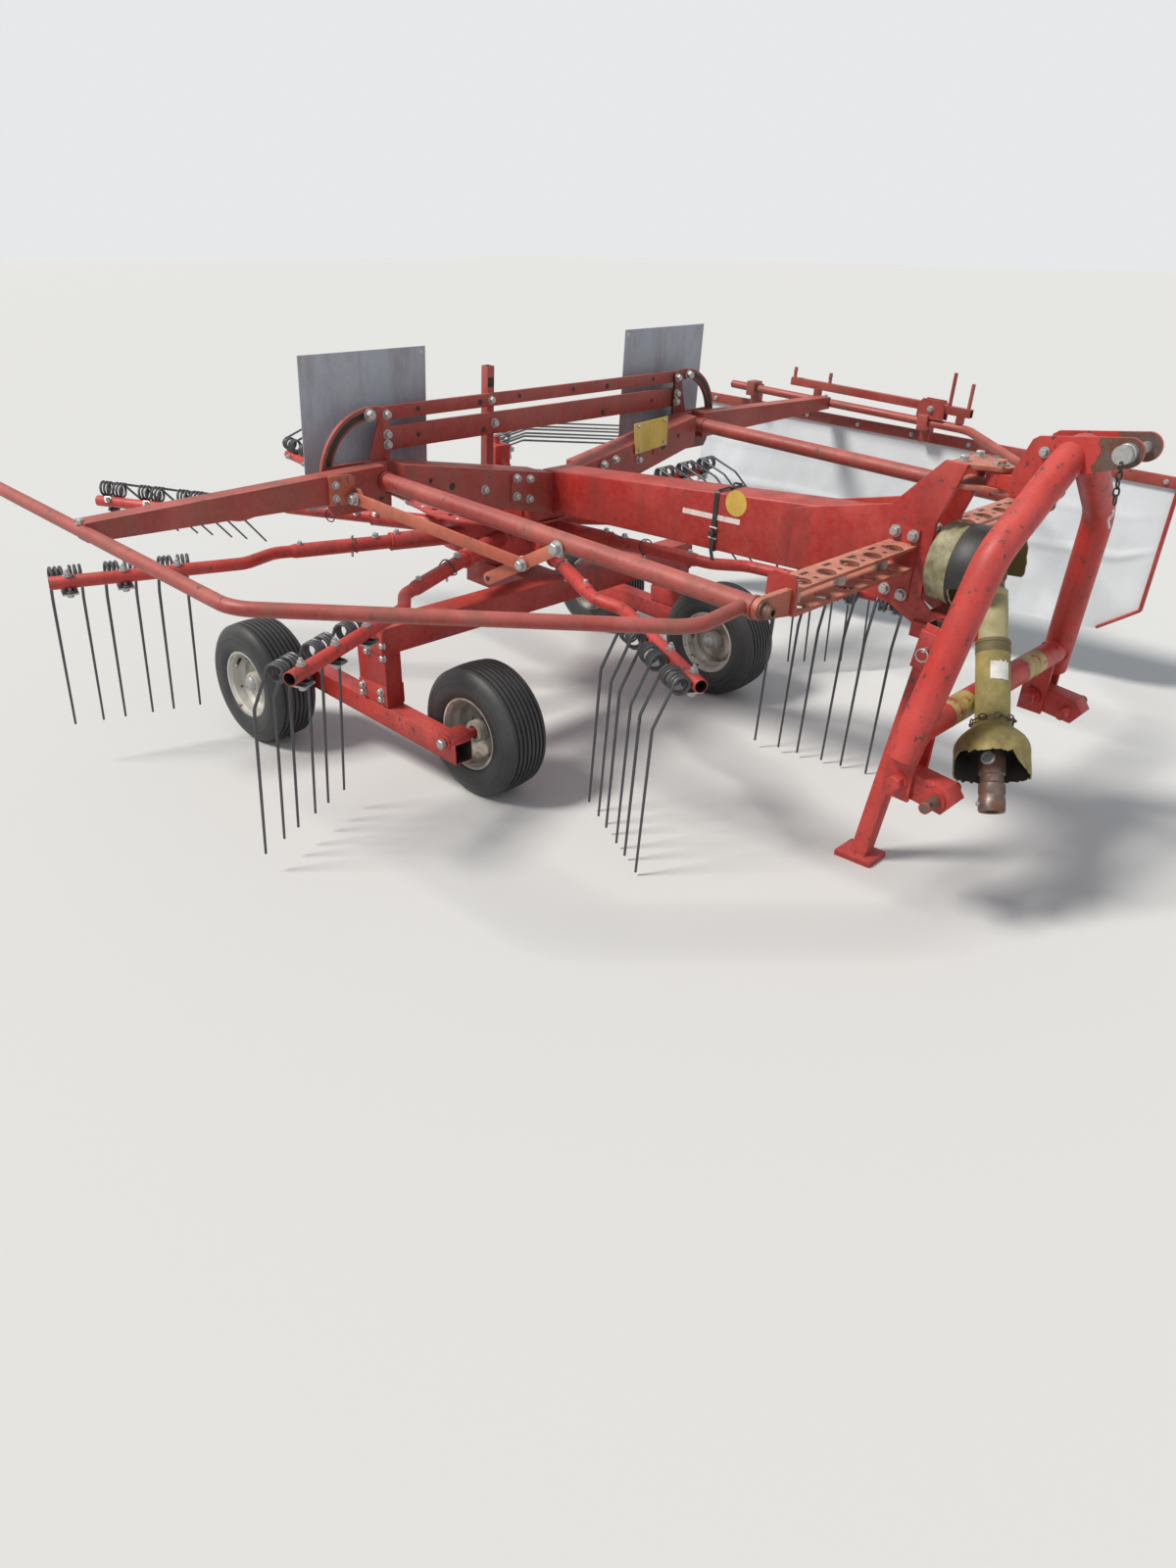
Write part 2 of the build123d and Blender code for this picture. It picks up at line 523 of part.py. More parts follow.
# Hitch links in the feet: their rear end about the foot's bolt and their nose about the pin
HITCH_REAR = [(-6, -35), (-26, -25), (-26, 31)]
HITCH_NOSE = [(17, 35), (42, 5), (17, -32)]
FOOT_BOLT_OUT = 15
for word, hand in SIDES:
    with BuildPart() as lower_hitch:
        with BuildSketch(side(hand * FOOT_Y)):
            with BuildLine():
                Polyline(*[(FOOT_BOLT_X + ahead, FOOT_BOLT_Z + rise) for ahead, rise in HITCH_REAR],
                         *[(LOWER_PIN_X + ahead, LOWER_PIN_Z + rise) for ahead, rise in HITCH_NOSE],
                         close=True)
            make_face()
        extrude(amount=FOOT_GAP / 2 - SEAT, both=True)
        with Locations(at(LOWER_PIN_X, hand * sum(LOWER_PIN_Y) / 2, LOWER_PIN_Z) * Rotation(90, 0, 0)):
            Cylinder(LOWER_PIN / 2, LOWER_PIN_Y[1] - LOWER_PIN_Y[0])
        with Locations(at(FOOT_BOLT_X, hand * FOOT_Y, FOOT_BOLT_Z) * Rotation(90, 0, 0)):
            Cylinder(FOOT_BOLT / 2, FOOT_GAP + 2 * (FOOT_PLATE + FOOT_BOLT_OUT))
    lower_hitch.part.label = f"lower_hitch_{word}"
    export_step(lower_hitch.part, f"parts/lower_hitch_{word}.step")

# Guard cup round the gearbox's input, open below in front for the drive shaft
CUP_OPEN_LENGTH, CUP_OPEN_TOP = 100, 25
with BuildPart() as drive_cup:
    with Locations(at(sum(CUP_X) / 2, 0, SHAFT_Z) * Rotation(0, 90, 0)):
        Cylinder(CUP_RADIUS, CUP_X[1] - CUP_X[0])
    with Locations(at(sum(CUP_X) / 2 + CUP_WALL, 0, SHAFT_Z) * Rotation(0, 90, 0)):
        Cylinder(CUP_RADIUS - CUP_WALL, CUP_X[1] - CUP_X[0], mode=Mode.SUBTRACT)
    with Locations(at(CUP_X[1], 0, SHAFT_Z - CUP_RADIUS)):
        Box(2 * CUP_OPEN_LENGTH, 3 * CUP_RADIUS, 2 * (CUP_RADIUS - CUP_OPEN_TOP), mode=Mode.SUBTRACT)
    with Locations(at(CUP_X[0], 0, SHAFT_Z) * Rotation(0, 90, 0)):
        Cylinder(INPUT_SHAFT / 2 + SEAT, 3 * CUP_WALL, mode=Mode.SUBTRACT)
drive_cup.part.label = "drive_cup"
export_step(drive_cup.part, "parts/drive_cup.step")

JOINT_GAP = 2
INPUT_END = PTO_X - PTO_JOINT / 2 - JOINT_GAP
with BuildPart() as input_shaft:
    with Locations(at((BEAM_FRONT + INPUT_END) / 2, 0, SHAFT_Z) * Rotation(0, 90, 0)):
        Cylinder(INPUT_SHAFT / 2, INPUT_END - BEAM_FRONT)
input_shaft.part.label = "input_shaft"
export_step(input_shaft.part, "parts/input_shaft.step")

# Drive shaft with its guard tubes, bell and yoke, lying on the headstock's cross tube
FORWARD, RIGHT = (radians(angle) for angle in PTO_LEAN)
pto_plane = parked(Plane(origin=(PTO_X, 0, SHAFT_Z), x_dir=(cos(FORWARD), 0, sin(FORWARD)),
                         z_dir=(sin(FORWARD) * cos(RIGHT), -sin(RIGHT), -cos(FORWARD) * cos(RIGHT))))


def along_shaft(distance):
    """Across the drive shaft, this far from its upper joint."""
    return pto_plane.offset(distance)


with BuildPart() as drive_shaft:
    with Locations(at(PTO_X, 0, SHAFT_Z)):
        Sphere(PTO_JOINT / 2)
    for radius, start, end in ((PTO_NECK / 2, 0, PTO_NECK_END), (PTO_TUBE / 2, PTO_NECK_END, PTO_BELL_FROM),
                               (PTO_SLEEVE / 2, PTO_SLEEVE_FROM, PTO_BELL_FROM)):
        with BuildSketch(along_shaft(start)):
            Circle(radius)
        extrude(amount=end - start)
    with BuildSketch(along_shaft(PTO_BELL_FROM)):
        Circle(PTO_SLEEVE / 2)
    with BuildSketch(along_shaft(PTO_BELL_FROM + PTO_BELL_FLARE)):
        Circle(PTO_BELL / 2 - PTO_BELL_WALL)
    loft()
    with BuildSketch(along_shaft(PTO_BELL_FROM + PTO_BELL_FLARE)):
        Circle(PTO_BELL / 2 - PTO_BELL_WALL)
    with BuildSketch(along_shaft(PTO_BELL_FROM + PTO_BELL_LENGTH)):
        Circle(PTO_BELL / 2)
    loft()
    with BuildSketch(along_shaft(PTO_BELL_FROM + PTO_BELL_FLARE + PTO_BELL_WALL)):
        Circle(PTO_BELL / 2 - 2 * PTO_BELL_WALL)
    extrude(amount=PTO_BELL_LENGTH, mode=Mode.SUBTRACT)
drive_shaft.part.label = "drive_shaft_guard"
export_step(drive_shaft.part, "parts/drive_shaft_guard.step")

with BuildPart() as drive_yoke:
    with BuildSketch(along_shaft(PTO_BELL_FROM + PTO_BELL_FLARE + PTO_BELL_WALL)):
        Circle(YOKE / 2)
    extrude(amount=PTO_LENGTH - PTO_BELL_FROM - PTO_BELL_FLARE - PTO_BELL_WALL)
    with BuildSketch(along_shaft(PTO_LENGTH)):
        Circle(YOKE_BORE / 2)
    extrude(amount=-YOKE_BORE_DEPTH, mode=Mode.SUBTRACT)
drive_yoke.part.label = "drive_yoke"
export_step(drive_yoke.part, "parts/drive_yoke.step")

# Rotor: hub with its disc and the sockets of the arms
ARM_STEP = 360 / ARM_COUNT
SOCKET_DEPTH = 150             # how far an arm reaches into its socket
DISC_HOLE, DISC_HOLES_IN = 22, 40


def arm_place(number):
    """An arm's own frame: X out along it, Y ahead of it as the rotor turns, Z up."""
    turned = Location((0, 0, ARM_Z), (0, 0, ARM_PHASE + ARM_STEP * number))
    return PARKED * turned * Location((0, ARM_ASIDE, 0))


with BuildPart() as rotor_hub:
    with Locations(at(0, 0, HUB_Z[0])):
        Cylinder(HUB_RADIUS, HUB_Z[1] - HUB_Z[0], align=(Align.CENTER, Align.CENTER, Align.MIN))
    with BuildSketch(deck(HUB_Z[1])):
        Circle(DISC_RADIUS)
        with PolarLocations(DISC_RADIUS - DISC_HOLES_IN, 2 * ARM_COUNT):
            Circle(DISC_HOLE / 2, mode=Mode.SUBTRACT)
    extrude(amount=DISC_PLATE)
    for number in range(ARM_COUNT):
        with Locations(arm_place(number) * Location((SOCKET_END / 2, 0, 0), (0, 90, 0))):
            Cylinder(SOCKET_TUBE / 2, SOCKET_END)
    for number in range(ARM_COUNT):
        with Locations(arm_place(number) * Location((SOCKET_END, 0, 0), (0, 90, 0))):
            Cylinder(ARM_TUBE / 2 + SEAT, 2 * SOCKET_DEPTH, mode=Mode.SUBTRACT)
    with Locations(at(0, 0, sum(HUB_Z) / 2)):
        Cylinder(COLUMN_RADIUS + SEAT, 2 * HUB_RADIUS, mode=Mode.SUBTRACT)
rotor_hub.part.label = "rotor_hub"
export_step(rotor_hub.part, "parts/rotor_hub.step")

# One double tine: a coil on the trailing side of the arm and its two bent wires
COIL_Y = -(CARRIER_TUBE + TINE_COIL) / 2 - SEAT
TINE_LEAN, TINE_BEND = 10, 40
COIL_LENGTH = TINE_SPAN + TINE_WIRE + 6
with BuildPart() as double_tine:
    with Locations(Location((0, COIL_Y, 0), (0, 90, 0))):
        Cylinder(TINE_COIL / 2, COIL_LENGTH)
        Cylinder(TINE_COIL / 2 - TINE_WIRE, 2 * COIL_LENGTH, mode=Mode.SUBTRACT)
    for reach in (-1, 1):
        start = COIL_Y - TINE_COIL / 2 + TINE_WIRE / 2
        with BuildLine(Plane.YZ.offset(reach * TINE_SPAN / 2)) as wire:
            FilletPolyline((start, 0), (start - TINE_BACK, -TINE_KNEE),
                           (start - TINE_BACK - TINE_LEAN, -TINE_DROP), radius=TINE_BEND)
        with BuildSketch(Plane(wire.line @ 0, z_dir=wire.line % 0)):
            Circle(TINE_WIRE / 2)
        sweep(path=wire.line)

# Tine arms, each rolled by the cam to its own angle, and the tines they carry
ARM_START, ARM_BEND = SOCKET_END - SOCKET_DEPTH, 90
ARM_SLEEVE_END = ARM_BEND_AT[0] - 60
for number, roll in enumerate(ARM_ROLLS):
    rolled = arm_place(number) * Location((0, 0, 0), (-roll, 0, 0))
    with BuildPart() as tine_arm:
        with BuildLine(Plane(rolled)) as bend:
            FilletPolyline((ARM_START, 0), (ARM_BEND_AT[0], 0), (ARM_BEND_AT[1], ARM_CRANK),
                           (ARM_END, ARM_CRANK), radius=ARM_BEND)
        with BuildSketch(Plane(bend.line @ 0, z_dir=bend.line % 0)):
            Circle(CARRIER_TUBE / 2)
        sweep(path=bend.line)
        with Locations(rolled * Location(((ARM_START + ARM_SLEEVE_END) / 2, 0, 0), (0, 90, 0))):
            Cylinder(ARM_TUBE / 2, ARM_SLEEVE_END - ARM_START)
    tine_arm.part.label = f"tine_arm_{number + 1}"
    export_step(tine_arm.part, f"parts/tine_arm_{number + 1}.step")
    with BuildPart() as tines:
        for distance in TINE_AT:
            add(double_tine.part.moved(rolled * Location((distance, ARM_CRANK, 0))))
    tines.part.label = f"tines_{number + 1}"
    export_step(tines.part, f"parts/tines_{number + 1}.step")

# Axle under the rotor, with the posts down to the walking beams
POST = 60
POST_REAR, POST_FRONT = (205, 238), (340, 229)   # where a post's corners meet the walking beam
POST_SLOPE, POST_TOP = (50, 50), 450
KEEL_REAR, KEEL_WIDTH = -70, 140
COLUMN_COLLAR = 30
with BuildPart() as axle_beam:
    with Locations(at(AXLE_X, 0, AXLE_Z)):
        Box(AXLE_TUBE, 2 * AXLE_Y + POST, AXLE_TUBE)
    with Locations(at((AXLE_X + KEEL_REAR) / 2, 0, AXLE_Z)):
        Box(AXLE_X - KEEL_REAR, KEEL_WIDTH, AXLE_TUBE)
    with Locations(at(0, 0, AXLE_Z)):
        Cylinder(COLUMN_RADIUS, GEARBOX_FLOOR - AXLE_Z, align=(Align.CENTER, Align.CENTER, Align.MIN))
    with Locations(at(0, 0, AXLE_Z)):
        Cylinder(COLUMN_RADIUS + COLUMN_COLLAR, HUB_Z[0] - SEAT - AXLE_Z,
                 align=(Align.CENTER, Align.CENTER, Align.MIN))
    for word, hand in SIDES:
        with BuildSketch(ground_side(hand * AXLE_Y)):
            with BuildLine():
                Polyline(POST_REAR, (POST_REAR[0], POST_TOP - POST_SLOPE[1]),
                         (POST_REAR[0] + POST_SLOPE[0], POST_TOP), (POST_FRONT[0], POST_TOP), POST_FRONT,
                         close=True)
            make_face()
        extrude(amount=POST / 2, both=True)
axle_beam.part.label = "axle_beam"
export_step(axle_beam.part, "parts/axle_beam.step")

# Walking beams, each with the stub axles of its two wheels
WALK_DROP = 4                  # top of the front end, over the wheel's middle
STUB_END, BOSS = 62, 72
for word, hand in SIDES:
    with BuildPart() as walking_beam:
        with BuildSketch(ground_side(hand * AXLE_Y)):
            with BuildLine():
                Polyline((WALK_END[0], WHEEL_RADIUS), (WALK_END[0], WHEEL_RADIUS + WALK_TUBE),
                         POST_REAR, POST_FRONT,
                         (WALK_END[1], WHEEL_RADIUS + WALK_DROP),
                         (WALK_END[1], WHEEL_RADIUS + WALK_DROP - WALK_TUBE), close=True)
            make_face()
        extrude(amount=WALK_TUBE / 2, both=True)
        for place, reach in ((WHEEL_FRONT, -1), (WHEEL_REAR, 1)):
            inner = AXLE_Y + reach * WALK_TUBE / 2
            outer = place[1] + reach * STUB_END
            with Locations(ground(place[0], hand * (inner + outer) / 2, WHEEL_RADIUS) * Rotation(90, 0, 0)):
                Cylinder(AXLE_PIN / 2, abs(outer - inner))
            with Locations(ground(place[0], hand * AXLE_Y, WHEEL_RADIUS) * Rotation(90, 0, 0)):
                Cylinder(BOSS / 2, WALK_TUBE)
    walking_beam.part.label = f"walking_beam_{word}"
    export_step(walking_beam.part, f"parts/walking_beam_{word}.step")

# Wheels
BULGE_RADIUS = 150
# in from the tyre's widest point, and its radius: bead, side, shoulder and edge of the tread
TYRE_HALF = [(10.5, RIM_RADIUS), (0, BULGE_RADIUS), (6.5, WHEEL_RADIUS - 15), (27.5, WHEEL_RADIUS - 3)]
RIM_WIDTH, RIM_WALL, RIM_WELL, WELL_IN = 152, 5, 14, 6
RIM_SEAT = 0.2
DISC_OUT, DISC_WALL = 10, 6
WHEEL_HUB, HUB_LENGTH = 68, 100
BORE_ROOM = 0.4
for place, row in ((WHEEL_FRONT, "front"), (WHEEL_REAR, "rear")):
    for word, hand in SIDES:
        hub = Plane(ground(place[0], hand * place[1], WHEEL_RADIUS) * Location(Plane.YZ))
        spin = Axis(hub.origin, (0, 1, 0))
        outward = hand if row == "rear" else -hand
        with BuildPart() as tyre:
            with BuildSketch(hub):
                with BuildLine():
                    Polyline(*[(inset - WHEEL_WIDTH / 2, radius) for inset, radius in TYRE_HALF],
                             (0, WHEEL_RADIUS),
                             *[(WHEEL_WIDTH / 2 - inset, radius) for inset, radius in reversed(TYRE_HALF)],
                             close=True)
                make_face()
            revolve(axis=spin)
        tyre.part.label = f"tyre_{row}_{word}"
        export_step(tyre.part, f"parts/tyre_{row}_{word}.step")
        with BuildPart() as rim:
            with BuildSketch(hub):
                with BuildLine():
                    Polyline((-RIM_WIDTH / 2, RIM_RADIUS - RIM_SEAT), (-RIM_WIDTH / 2, RIM_RADIUS - RIM_WALL),
                             (-WELL_IN, RIM_RADIUS - RIM_WELL), (RIM_WIDTH / 2, RIM_RADIUS - RIM_WALL),
                             (RIM_WIDTH / 2, RIM_RADIUS - RIM_SEAT), close=True)
                make_face()
                disc_from, disc_to = WHEEL_HUB / 2 - DISC_WALL, RIM_RADIUS - 1.5 * RIM_WALL
                with Locations((outward * DISC_OUT, (disc_from + disc_to) / 2)):
                    Rectangle(DISC_WALL, disc_to - disc_from)
                bore = AXLE_PIN / 2 + BORE_ROOM
                with Locations((0, (bore + WHEEL_HUB / 2) / 2)):
                    Rectangle(HUB_LENGTH, WHEEL_HUB / 2 - bore)
            revolve(axis=spin)
        rim.part.label = f"rim_{row}_{word}"
        export_step(rim.part, f"parts/rim_{row}_{word}.step")

# Parking leg in its socket on the beam's head
LEG_ROOM = 0.5                 # round the leg in its socket
BRACKET_Z = (SOCKET_AT[1] - 15, SOCKET_AT[1] + 25)
BRACKET_REAR, BRACKET_AHEAD = 60, 10
BRACKET_FACE = BEAM_WIDTH / 2 + CHEEK + SEAT
BRACKET_LENGTH = -LEG_Y - LEG_TUBE / 2 - 2 - BEAM_WIDTH / 2 - CHEEK
SOCKET_X, SOCKET_Z = ground_point(*SOCKET_AT)
LEG_UP = (sin(radians(LEG_LEAN)), 0, cos(radians(LEG_LEAN)))
leg_plane = Plane(ON_GROUND * Location(Plane(
    origin=(SOCKET_X - SOCKET_Z * tan(radians(LEG_LEAN)), LEG_Y, 0),
    x_dir=(0, 1, 0), z_dir=LEG_UP)))
with BuildPart() as leg_socket:
    with BuildSketch(leg_plane.offset(SOCKET_Z - SOCKET_LENGTH / 2)):
        Rectangle(LEG_TUBE + 2 * SOCKET_WALL, LEG_TUBE + 2 * SOCKET_WALL)
        Rectangle(LEG_TUBE + 2 * LEG_ROOM, LEG_TUBE + 2 * LEG_ROOM, mode=Mode.SUBTRACT)
    extrude(amount=SOCKET_LENGTH)
    for rear, front, thickness in ((FORK_CORNER, SOCKET_AT[0] + BRACKET_AHEAD, BRACKET_LENGTH),
                                   (CHEEK_NOSE - BRACKET_REAR, FORK_CORNER, CHEEK)):
        with BuildSketch(side(-BRACKET_FACE)):
            with BuildLine():
                Polyline((rear, BRACKET_Z[0]), (rear, BRACKET_Z[1]),
                         (front, BRACKET_Z[1]), (front, BRACKET_Z[0]), close=True)
            make_face()
        extrude(amount=thickness)
leg_socket.part.label = "leg_socket"
export_step(leg_socket.part, "parts/leg_socket.step")

FOOT_WELD = 4
leg_ground = Plane(ON_GROUND * Location((leg_plane.origin.X - ROTOR_X, leg_plane.origin.Y - ROTOR_Y, 0)))
with BuildPart() as parking_leg:
    with BuildSketch(leg_plane.offset(LEG_FOOT)):
        Rectangle(LEG_TUBE, LEG_TUBE)
    extrude(amount=LEG_LENGTH)
    with BuildSketch(leg_ground):
        Rectangle(*LEG_PAD)
    extrude(amount=LEG_FOOT + FOOT_WELD)
parking_leg.part.label = "parking_leg"
export_step(parking_leg.part, "parts/parking_leg.step")

# Storage bar for lifted-off arms on the left guard, with its pegs
with BuildPart() as storage_bar:
    with Locations(at(sum(BAR_X) / 2, GUARD_SIDE, BAR_Z)):
        Box(BAR_X[1] - BAR_X[0], BAR_WIDTH, BAR_HEIGHT)
    for x, height in BAR_PEGS:
        with Locations(at(x, GUARD_SIDE, BAR_Z + BAR_HEIGHT / 2)):
            Cylinder(PEG / 2, height, align=(Align.CENTER, Align.CENTER, Align.MIN))
    for x in BAR_FEET_X:
        with Locations(at(x, GUARD_SIDE, (GUARD_TOP + SEAT + BAR_Z) / 2)):
            Box(BAR_WIDTH, BAR_WIDTH, BAR_Z - GUARD_TOP - SEAT)
storage_bar.part.label = "storage_bar"
export_step(storage_bar.part, "parts/storage_bar.step")

# Swath curtain under its rail, with the brackets that clamp the rail to the guard
CLAMP = 1.8 * GUARD_TUBE
with BuildPart() as curtain_rail:
    with BuildSketch(side(CURTAIN_Y)):
        with BuildLine():
            Polyline((CURTAIN_X[0], CURTAIN_TOP[0]), (CURTAIN_X[1], CURTAIN_TOP[1]),
                     (CURTAIN_X[1], CURTAIN_TOP[1] + RAIL), (CURTAIN_X[0], CURTAIN_TOP[0] + RAIL), close=True)
        make_face()
    extrude(amount=RAIL / 4)
    for x in RAIL_BRACKETS_X:
        with Locations(at(x, (GUARD_SIDE + CURTAIN_Y) / 2, GUARD_TOP - BRACKET_HEIGHT / 2)):
            Box(BRACKET_WIDTH, CURTAIN_Y - GUARD_SIDE - RAIL / 2, BRACKET_HEIGHT)
        with Locations(at(x, GUARD_SIDE, HINGE_Z)):
            Box(BRACKET_WIDTH, CLAMP, CLAMP)
        with Locations(at(x, GUARD_SIDE, HINGE_Z) * Rotation(0, 90, 0)):
            Cylinder(GUARD_TUBE / 2 + SEAT, 2 * BRACKET_WIDTH, mode=Mode.SUBTRACT)
curtain_rail.part.label = "curtain_rail"
export_step(curtain_rail.part, "parts/curtain_rail.step")

with BuildPart() as curtain:
    with BuildSketch(side(CURTAIN_Y + CURTAIN_SHEET + SEAT)):
        with BuildLine():
            Polyline((CURTAIN_X[0], CURTAIN_BOTTOM[0]), (CURTAIN_X[1] - CURTAIN_CUT[0], CURTAIN_BOTTOM[1]),
                     (CURTAIN_X[1], CURTAIN_BOTTOM[1] + CURTAIN_CUT[1]),
                     (CURTAIN_X[1], CURTAIN_TOP[1] + RAIL),
                     (CURTAIN_X[0], CURTAIN_TOP[0] + RAIL), close=True)
        make_face()
    extrude(amount=CURTAIN_SHEET)
curtain.part.label = "curtain"
export_step(curtain.part, "parts/curtain.step")
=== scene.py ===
# %% [markdown]
# # A rotary hay rake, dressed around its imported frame
# The machine is parked on a pale studio floor: one rotor with nine tine arms under a red box
# beam, a swinging headstock, four small wheels, folding guards and a white swath curtain.
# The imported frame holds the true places, so every piece here is built in the machine's own
# coordinates and then moved by one matrix, instead of being nudged into place by eye.

# %% Load the frame
import json
import random
from math import cos, pi, radians, sin, tan

import bmesh
import bpy
from mathutils import Matrix, Vector, noise

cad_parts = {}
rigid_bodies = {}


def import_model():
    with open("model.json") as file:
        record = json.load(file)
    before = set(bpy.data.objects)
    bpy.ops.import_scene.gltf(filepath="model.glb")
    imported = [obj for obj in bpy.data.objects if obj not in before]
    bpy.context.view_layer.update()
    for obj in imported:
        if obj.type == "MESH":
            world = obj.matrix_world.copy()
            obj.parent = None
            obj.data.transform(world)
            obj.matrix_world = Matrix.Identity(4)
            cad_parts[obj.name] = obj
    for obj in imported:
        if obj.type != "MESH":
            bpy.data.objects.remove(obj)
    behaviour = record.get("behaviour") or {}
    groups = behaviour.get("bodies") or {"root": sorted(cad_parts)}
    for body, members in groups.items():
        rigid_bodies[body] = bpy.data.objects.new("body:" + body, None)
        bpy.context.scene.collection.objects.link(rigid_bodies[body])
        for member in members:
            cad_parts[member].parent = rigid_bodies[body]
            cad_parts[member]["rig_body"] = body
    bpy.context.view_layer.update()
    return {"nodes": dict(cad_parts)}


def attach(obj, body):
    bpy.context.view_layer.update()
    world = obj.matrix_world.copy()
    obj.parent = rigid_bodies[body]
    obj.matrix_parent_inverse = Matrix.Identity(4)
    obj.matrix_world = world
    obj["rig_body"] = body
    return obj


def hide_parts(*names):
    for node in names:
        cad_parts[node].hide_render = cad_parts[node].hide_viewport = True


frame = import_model()
nodes = frame["nodes"]

# %% [markdown]
# ## Three sets of coordinates
# The rake is drawn level about its rotor, in millimetres, and then tipped nose down onto its
# wheels. PARKED does that tipping once for every piece, and GROUND serves the wheels, which
# stand square on the floor. Building level keeps each number a size that can be measured on
# the machine with a tape.

# %% Coordinates
ROTOR = Vector((-0.385, -0.021, 0.0))
NOSE_DOWN = radians(3.8)
MM = Matrix.Scale(0.001, 4)
PARKED = Matrix.Translation(ROTOR) @ Matrix.Rotation(NOSE_DOWN, 4, "Y") @ MM
GROUND = Matrix.Translation(ROTOR) @ MM
SIDES = (("left", 1), ("right", -1))
X, Y, Z = Vector((1, 0, 0)), Vector((0, 1, 0)), Vector((0, 0, 1))
print("the rotor's axis meets the floor at", [round(c, 3) for c in PARKED.translation])

# %% [markdown]
# ## The camera
# A telephone held at head height near the right front corner sees the whole machine in an
# upright picture. The camera could be found by trial, but here its place and turn were solved
# from the rotor's arms, so that the render can be laid over the photograph.

# %% Camera
CAMERA_AT = Vector((2.9307, -2.5841, 1.5429))
YAW, PITCH, ROLL = radians(133.27), radians(26.62), radians(0.42)
LENS, SENSOR = 25.257, 36.0
forward = Vector((cos(YAW) * cos(PITCH), sin(YAW) * cos(PITCH), -sin(PITCH)))
right = Vector((sin(YAW), -cos(YAW), 0))
up = right.cross(forward)
roll = Matrix.Rotation(-ROLL, 3, forward)
right, up = roll @ right, roll @ up
camera_data = bpy.data.cameras.new("camera")
camera_data.sensor_fit = "VERTICAL"
camera_data.sensor_height = SENSOR
camera_data.lens = LENS
camera = bpy.data.objects.new("camera", camera_data)
camera.matrix_world = Matrix((
    (right.x, up.x, -forward.x, 0),
    (right.y, up.y, -forward.y, 0),
    (right.z, up.z, -forward.z, 0),
    (0, 0, 0, 1)))
camera.location = CAMERA_AT + ROTOR
bpy.context.scene.collection.objects.link(camera)
bpy.context.scene.camera = camera
bpy.context.scene.view_settings.view_transform = "Standard"
print("camera at", [round(c, 3) for c in camera.location])

# %% [markdown]
# ## Node groups for wear
# Old farm paint fades where the sun reaches it, chips along its edges, and holds dirt in its
# hollows. Each effect could be drawn again in every material. A shader node group does it
# once, and each material places the group with its own colours and amounts. A few helpers
# add and link the nodes, so that each group below reads as a recipe.

# %% Nodes, mixes and sums
def feed(tree, value, socket):
    """Links a socket to an input, or sets the input to a plain value."""
    if isinstance(value, bpy.types.NodeSocket):
        tree.links.new(value, socket)
    else:
        socket.default_value = value


def add_node(tree, kind, **inputs):
    """A node whose named inputs are linked to sockets or set to plain values."""
    node = tree.nodes.new(kind)
    for name, value in inputs.items():
        feed(tree, value, node.inputs[name])
    return node


def mix_colors(tree, factor, first, second):
    """A mix of two colours; each argument is a socket or a plain value."""
    node = tree.nodes.new("ShaderNodeMix")
    node.data_type = "RGBA"
    for index, value in ((0, factor), (6, first), (7, second)):
        feed(tree, value, node.inputs[index])
    return node.outputs[2]


def math_node(tree, operation, first, second, clamp=False):
    """One step of arithmetic on two sockets or numbers."""
    node = tree.nodes.new("ShaderNodeMath")
    node.operation = operation
    node.use_clamp = clamp
    feed(tree, first, node.inputs[0])
    feed(tree, second, node.inputs[1])
    return node.outputs[0]


def remap(tree, value, low, high, to_low=0.0, to_high=1.0):
    """A value stretched from one range to another, and held inside it."""
    node = tree.nodes.new("ShaderNodeMapRange")
    for socket, number in zip(node.inputs, (value, low, high, to_low, to_high)):
        feed(tree, number, socket)
    return node.outputs[0]


print("helpers make a node, a mix, a sum and a range")

# %% Noise, sky and groups
def noise_at(tree, scale, detail, roughness=0.6, stretch=(1, 1, 1)):
    """Noise fixed to the object, so that it moves with the piece."""
    place = tree.nodes.new("ShaderNodeTexCoord").outputs["Object"]
    mapping = add_node(tree, "ShaderNodeMapping", Vector=place, Scale=stretch)
    node = add_node(tree, "ShaderNodeTexNoise", Vector=mapping.outputs[0], Scale=scale,
                    Detail=detail, Roughness=roughness)
    return node.outputs["Fac"]


def upward(tree):
    """How far a surface faces the sky, from 0 below to 1 on top."""
    normal = tree.nodes.new("ShaderNodeNewGeometry").outputs["Normal"]
    split = add_node(tree, "ShaderNodeSeparateXYZ", Vector=normal)
    return remap(tree, split.outputs["Z"], -0.25, 0.95)


def new_group(name, colors, amounts, results):
    """An empty node group: colours and amounts go in, a colour and results come out."""
    tree = bpy.data.node_groups.new(name, "ShaderNodeTree")
    for way, kind, words in (("INPUT", "Color", colors), ("INPUT", "Float", amounts),
                             ("OUTPUT", "Color", ("Color",)), ("OUTPUT", "Float", results)):
        for word in words:
            tree.interface.new_socket(word, in_out=way, socket_type="NodeSocket" + kind)
    return tree, tree.nodes.new("NodeGroupInput").outputs


def put_out(tree, **values):
    """Links what a group made to its named outputs."""
    add_node(tree, "NodeGroupOutput", **values)
    print(tree.name, "puts out", ", ".join(values))


print("noise is fixed to the object, and a group names its sockets")
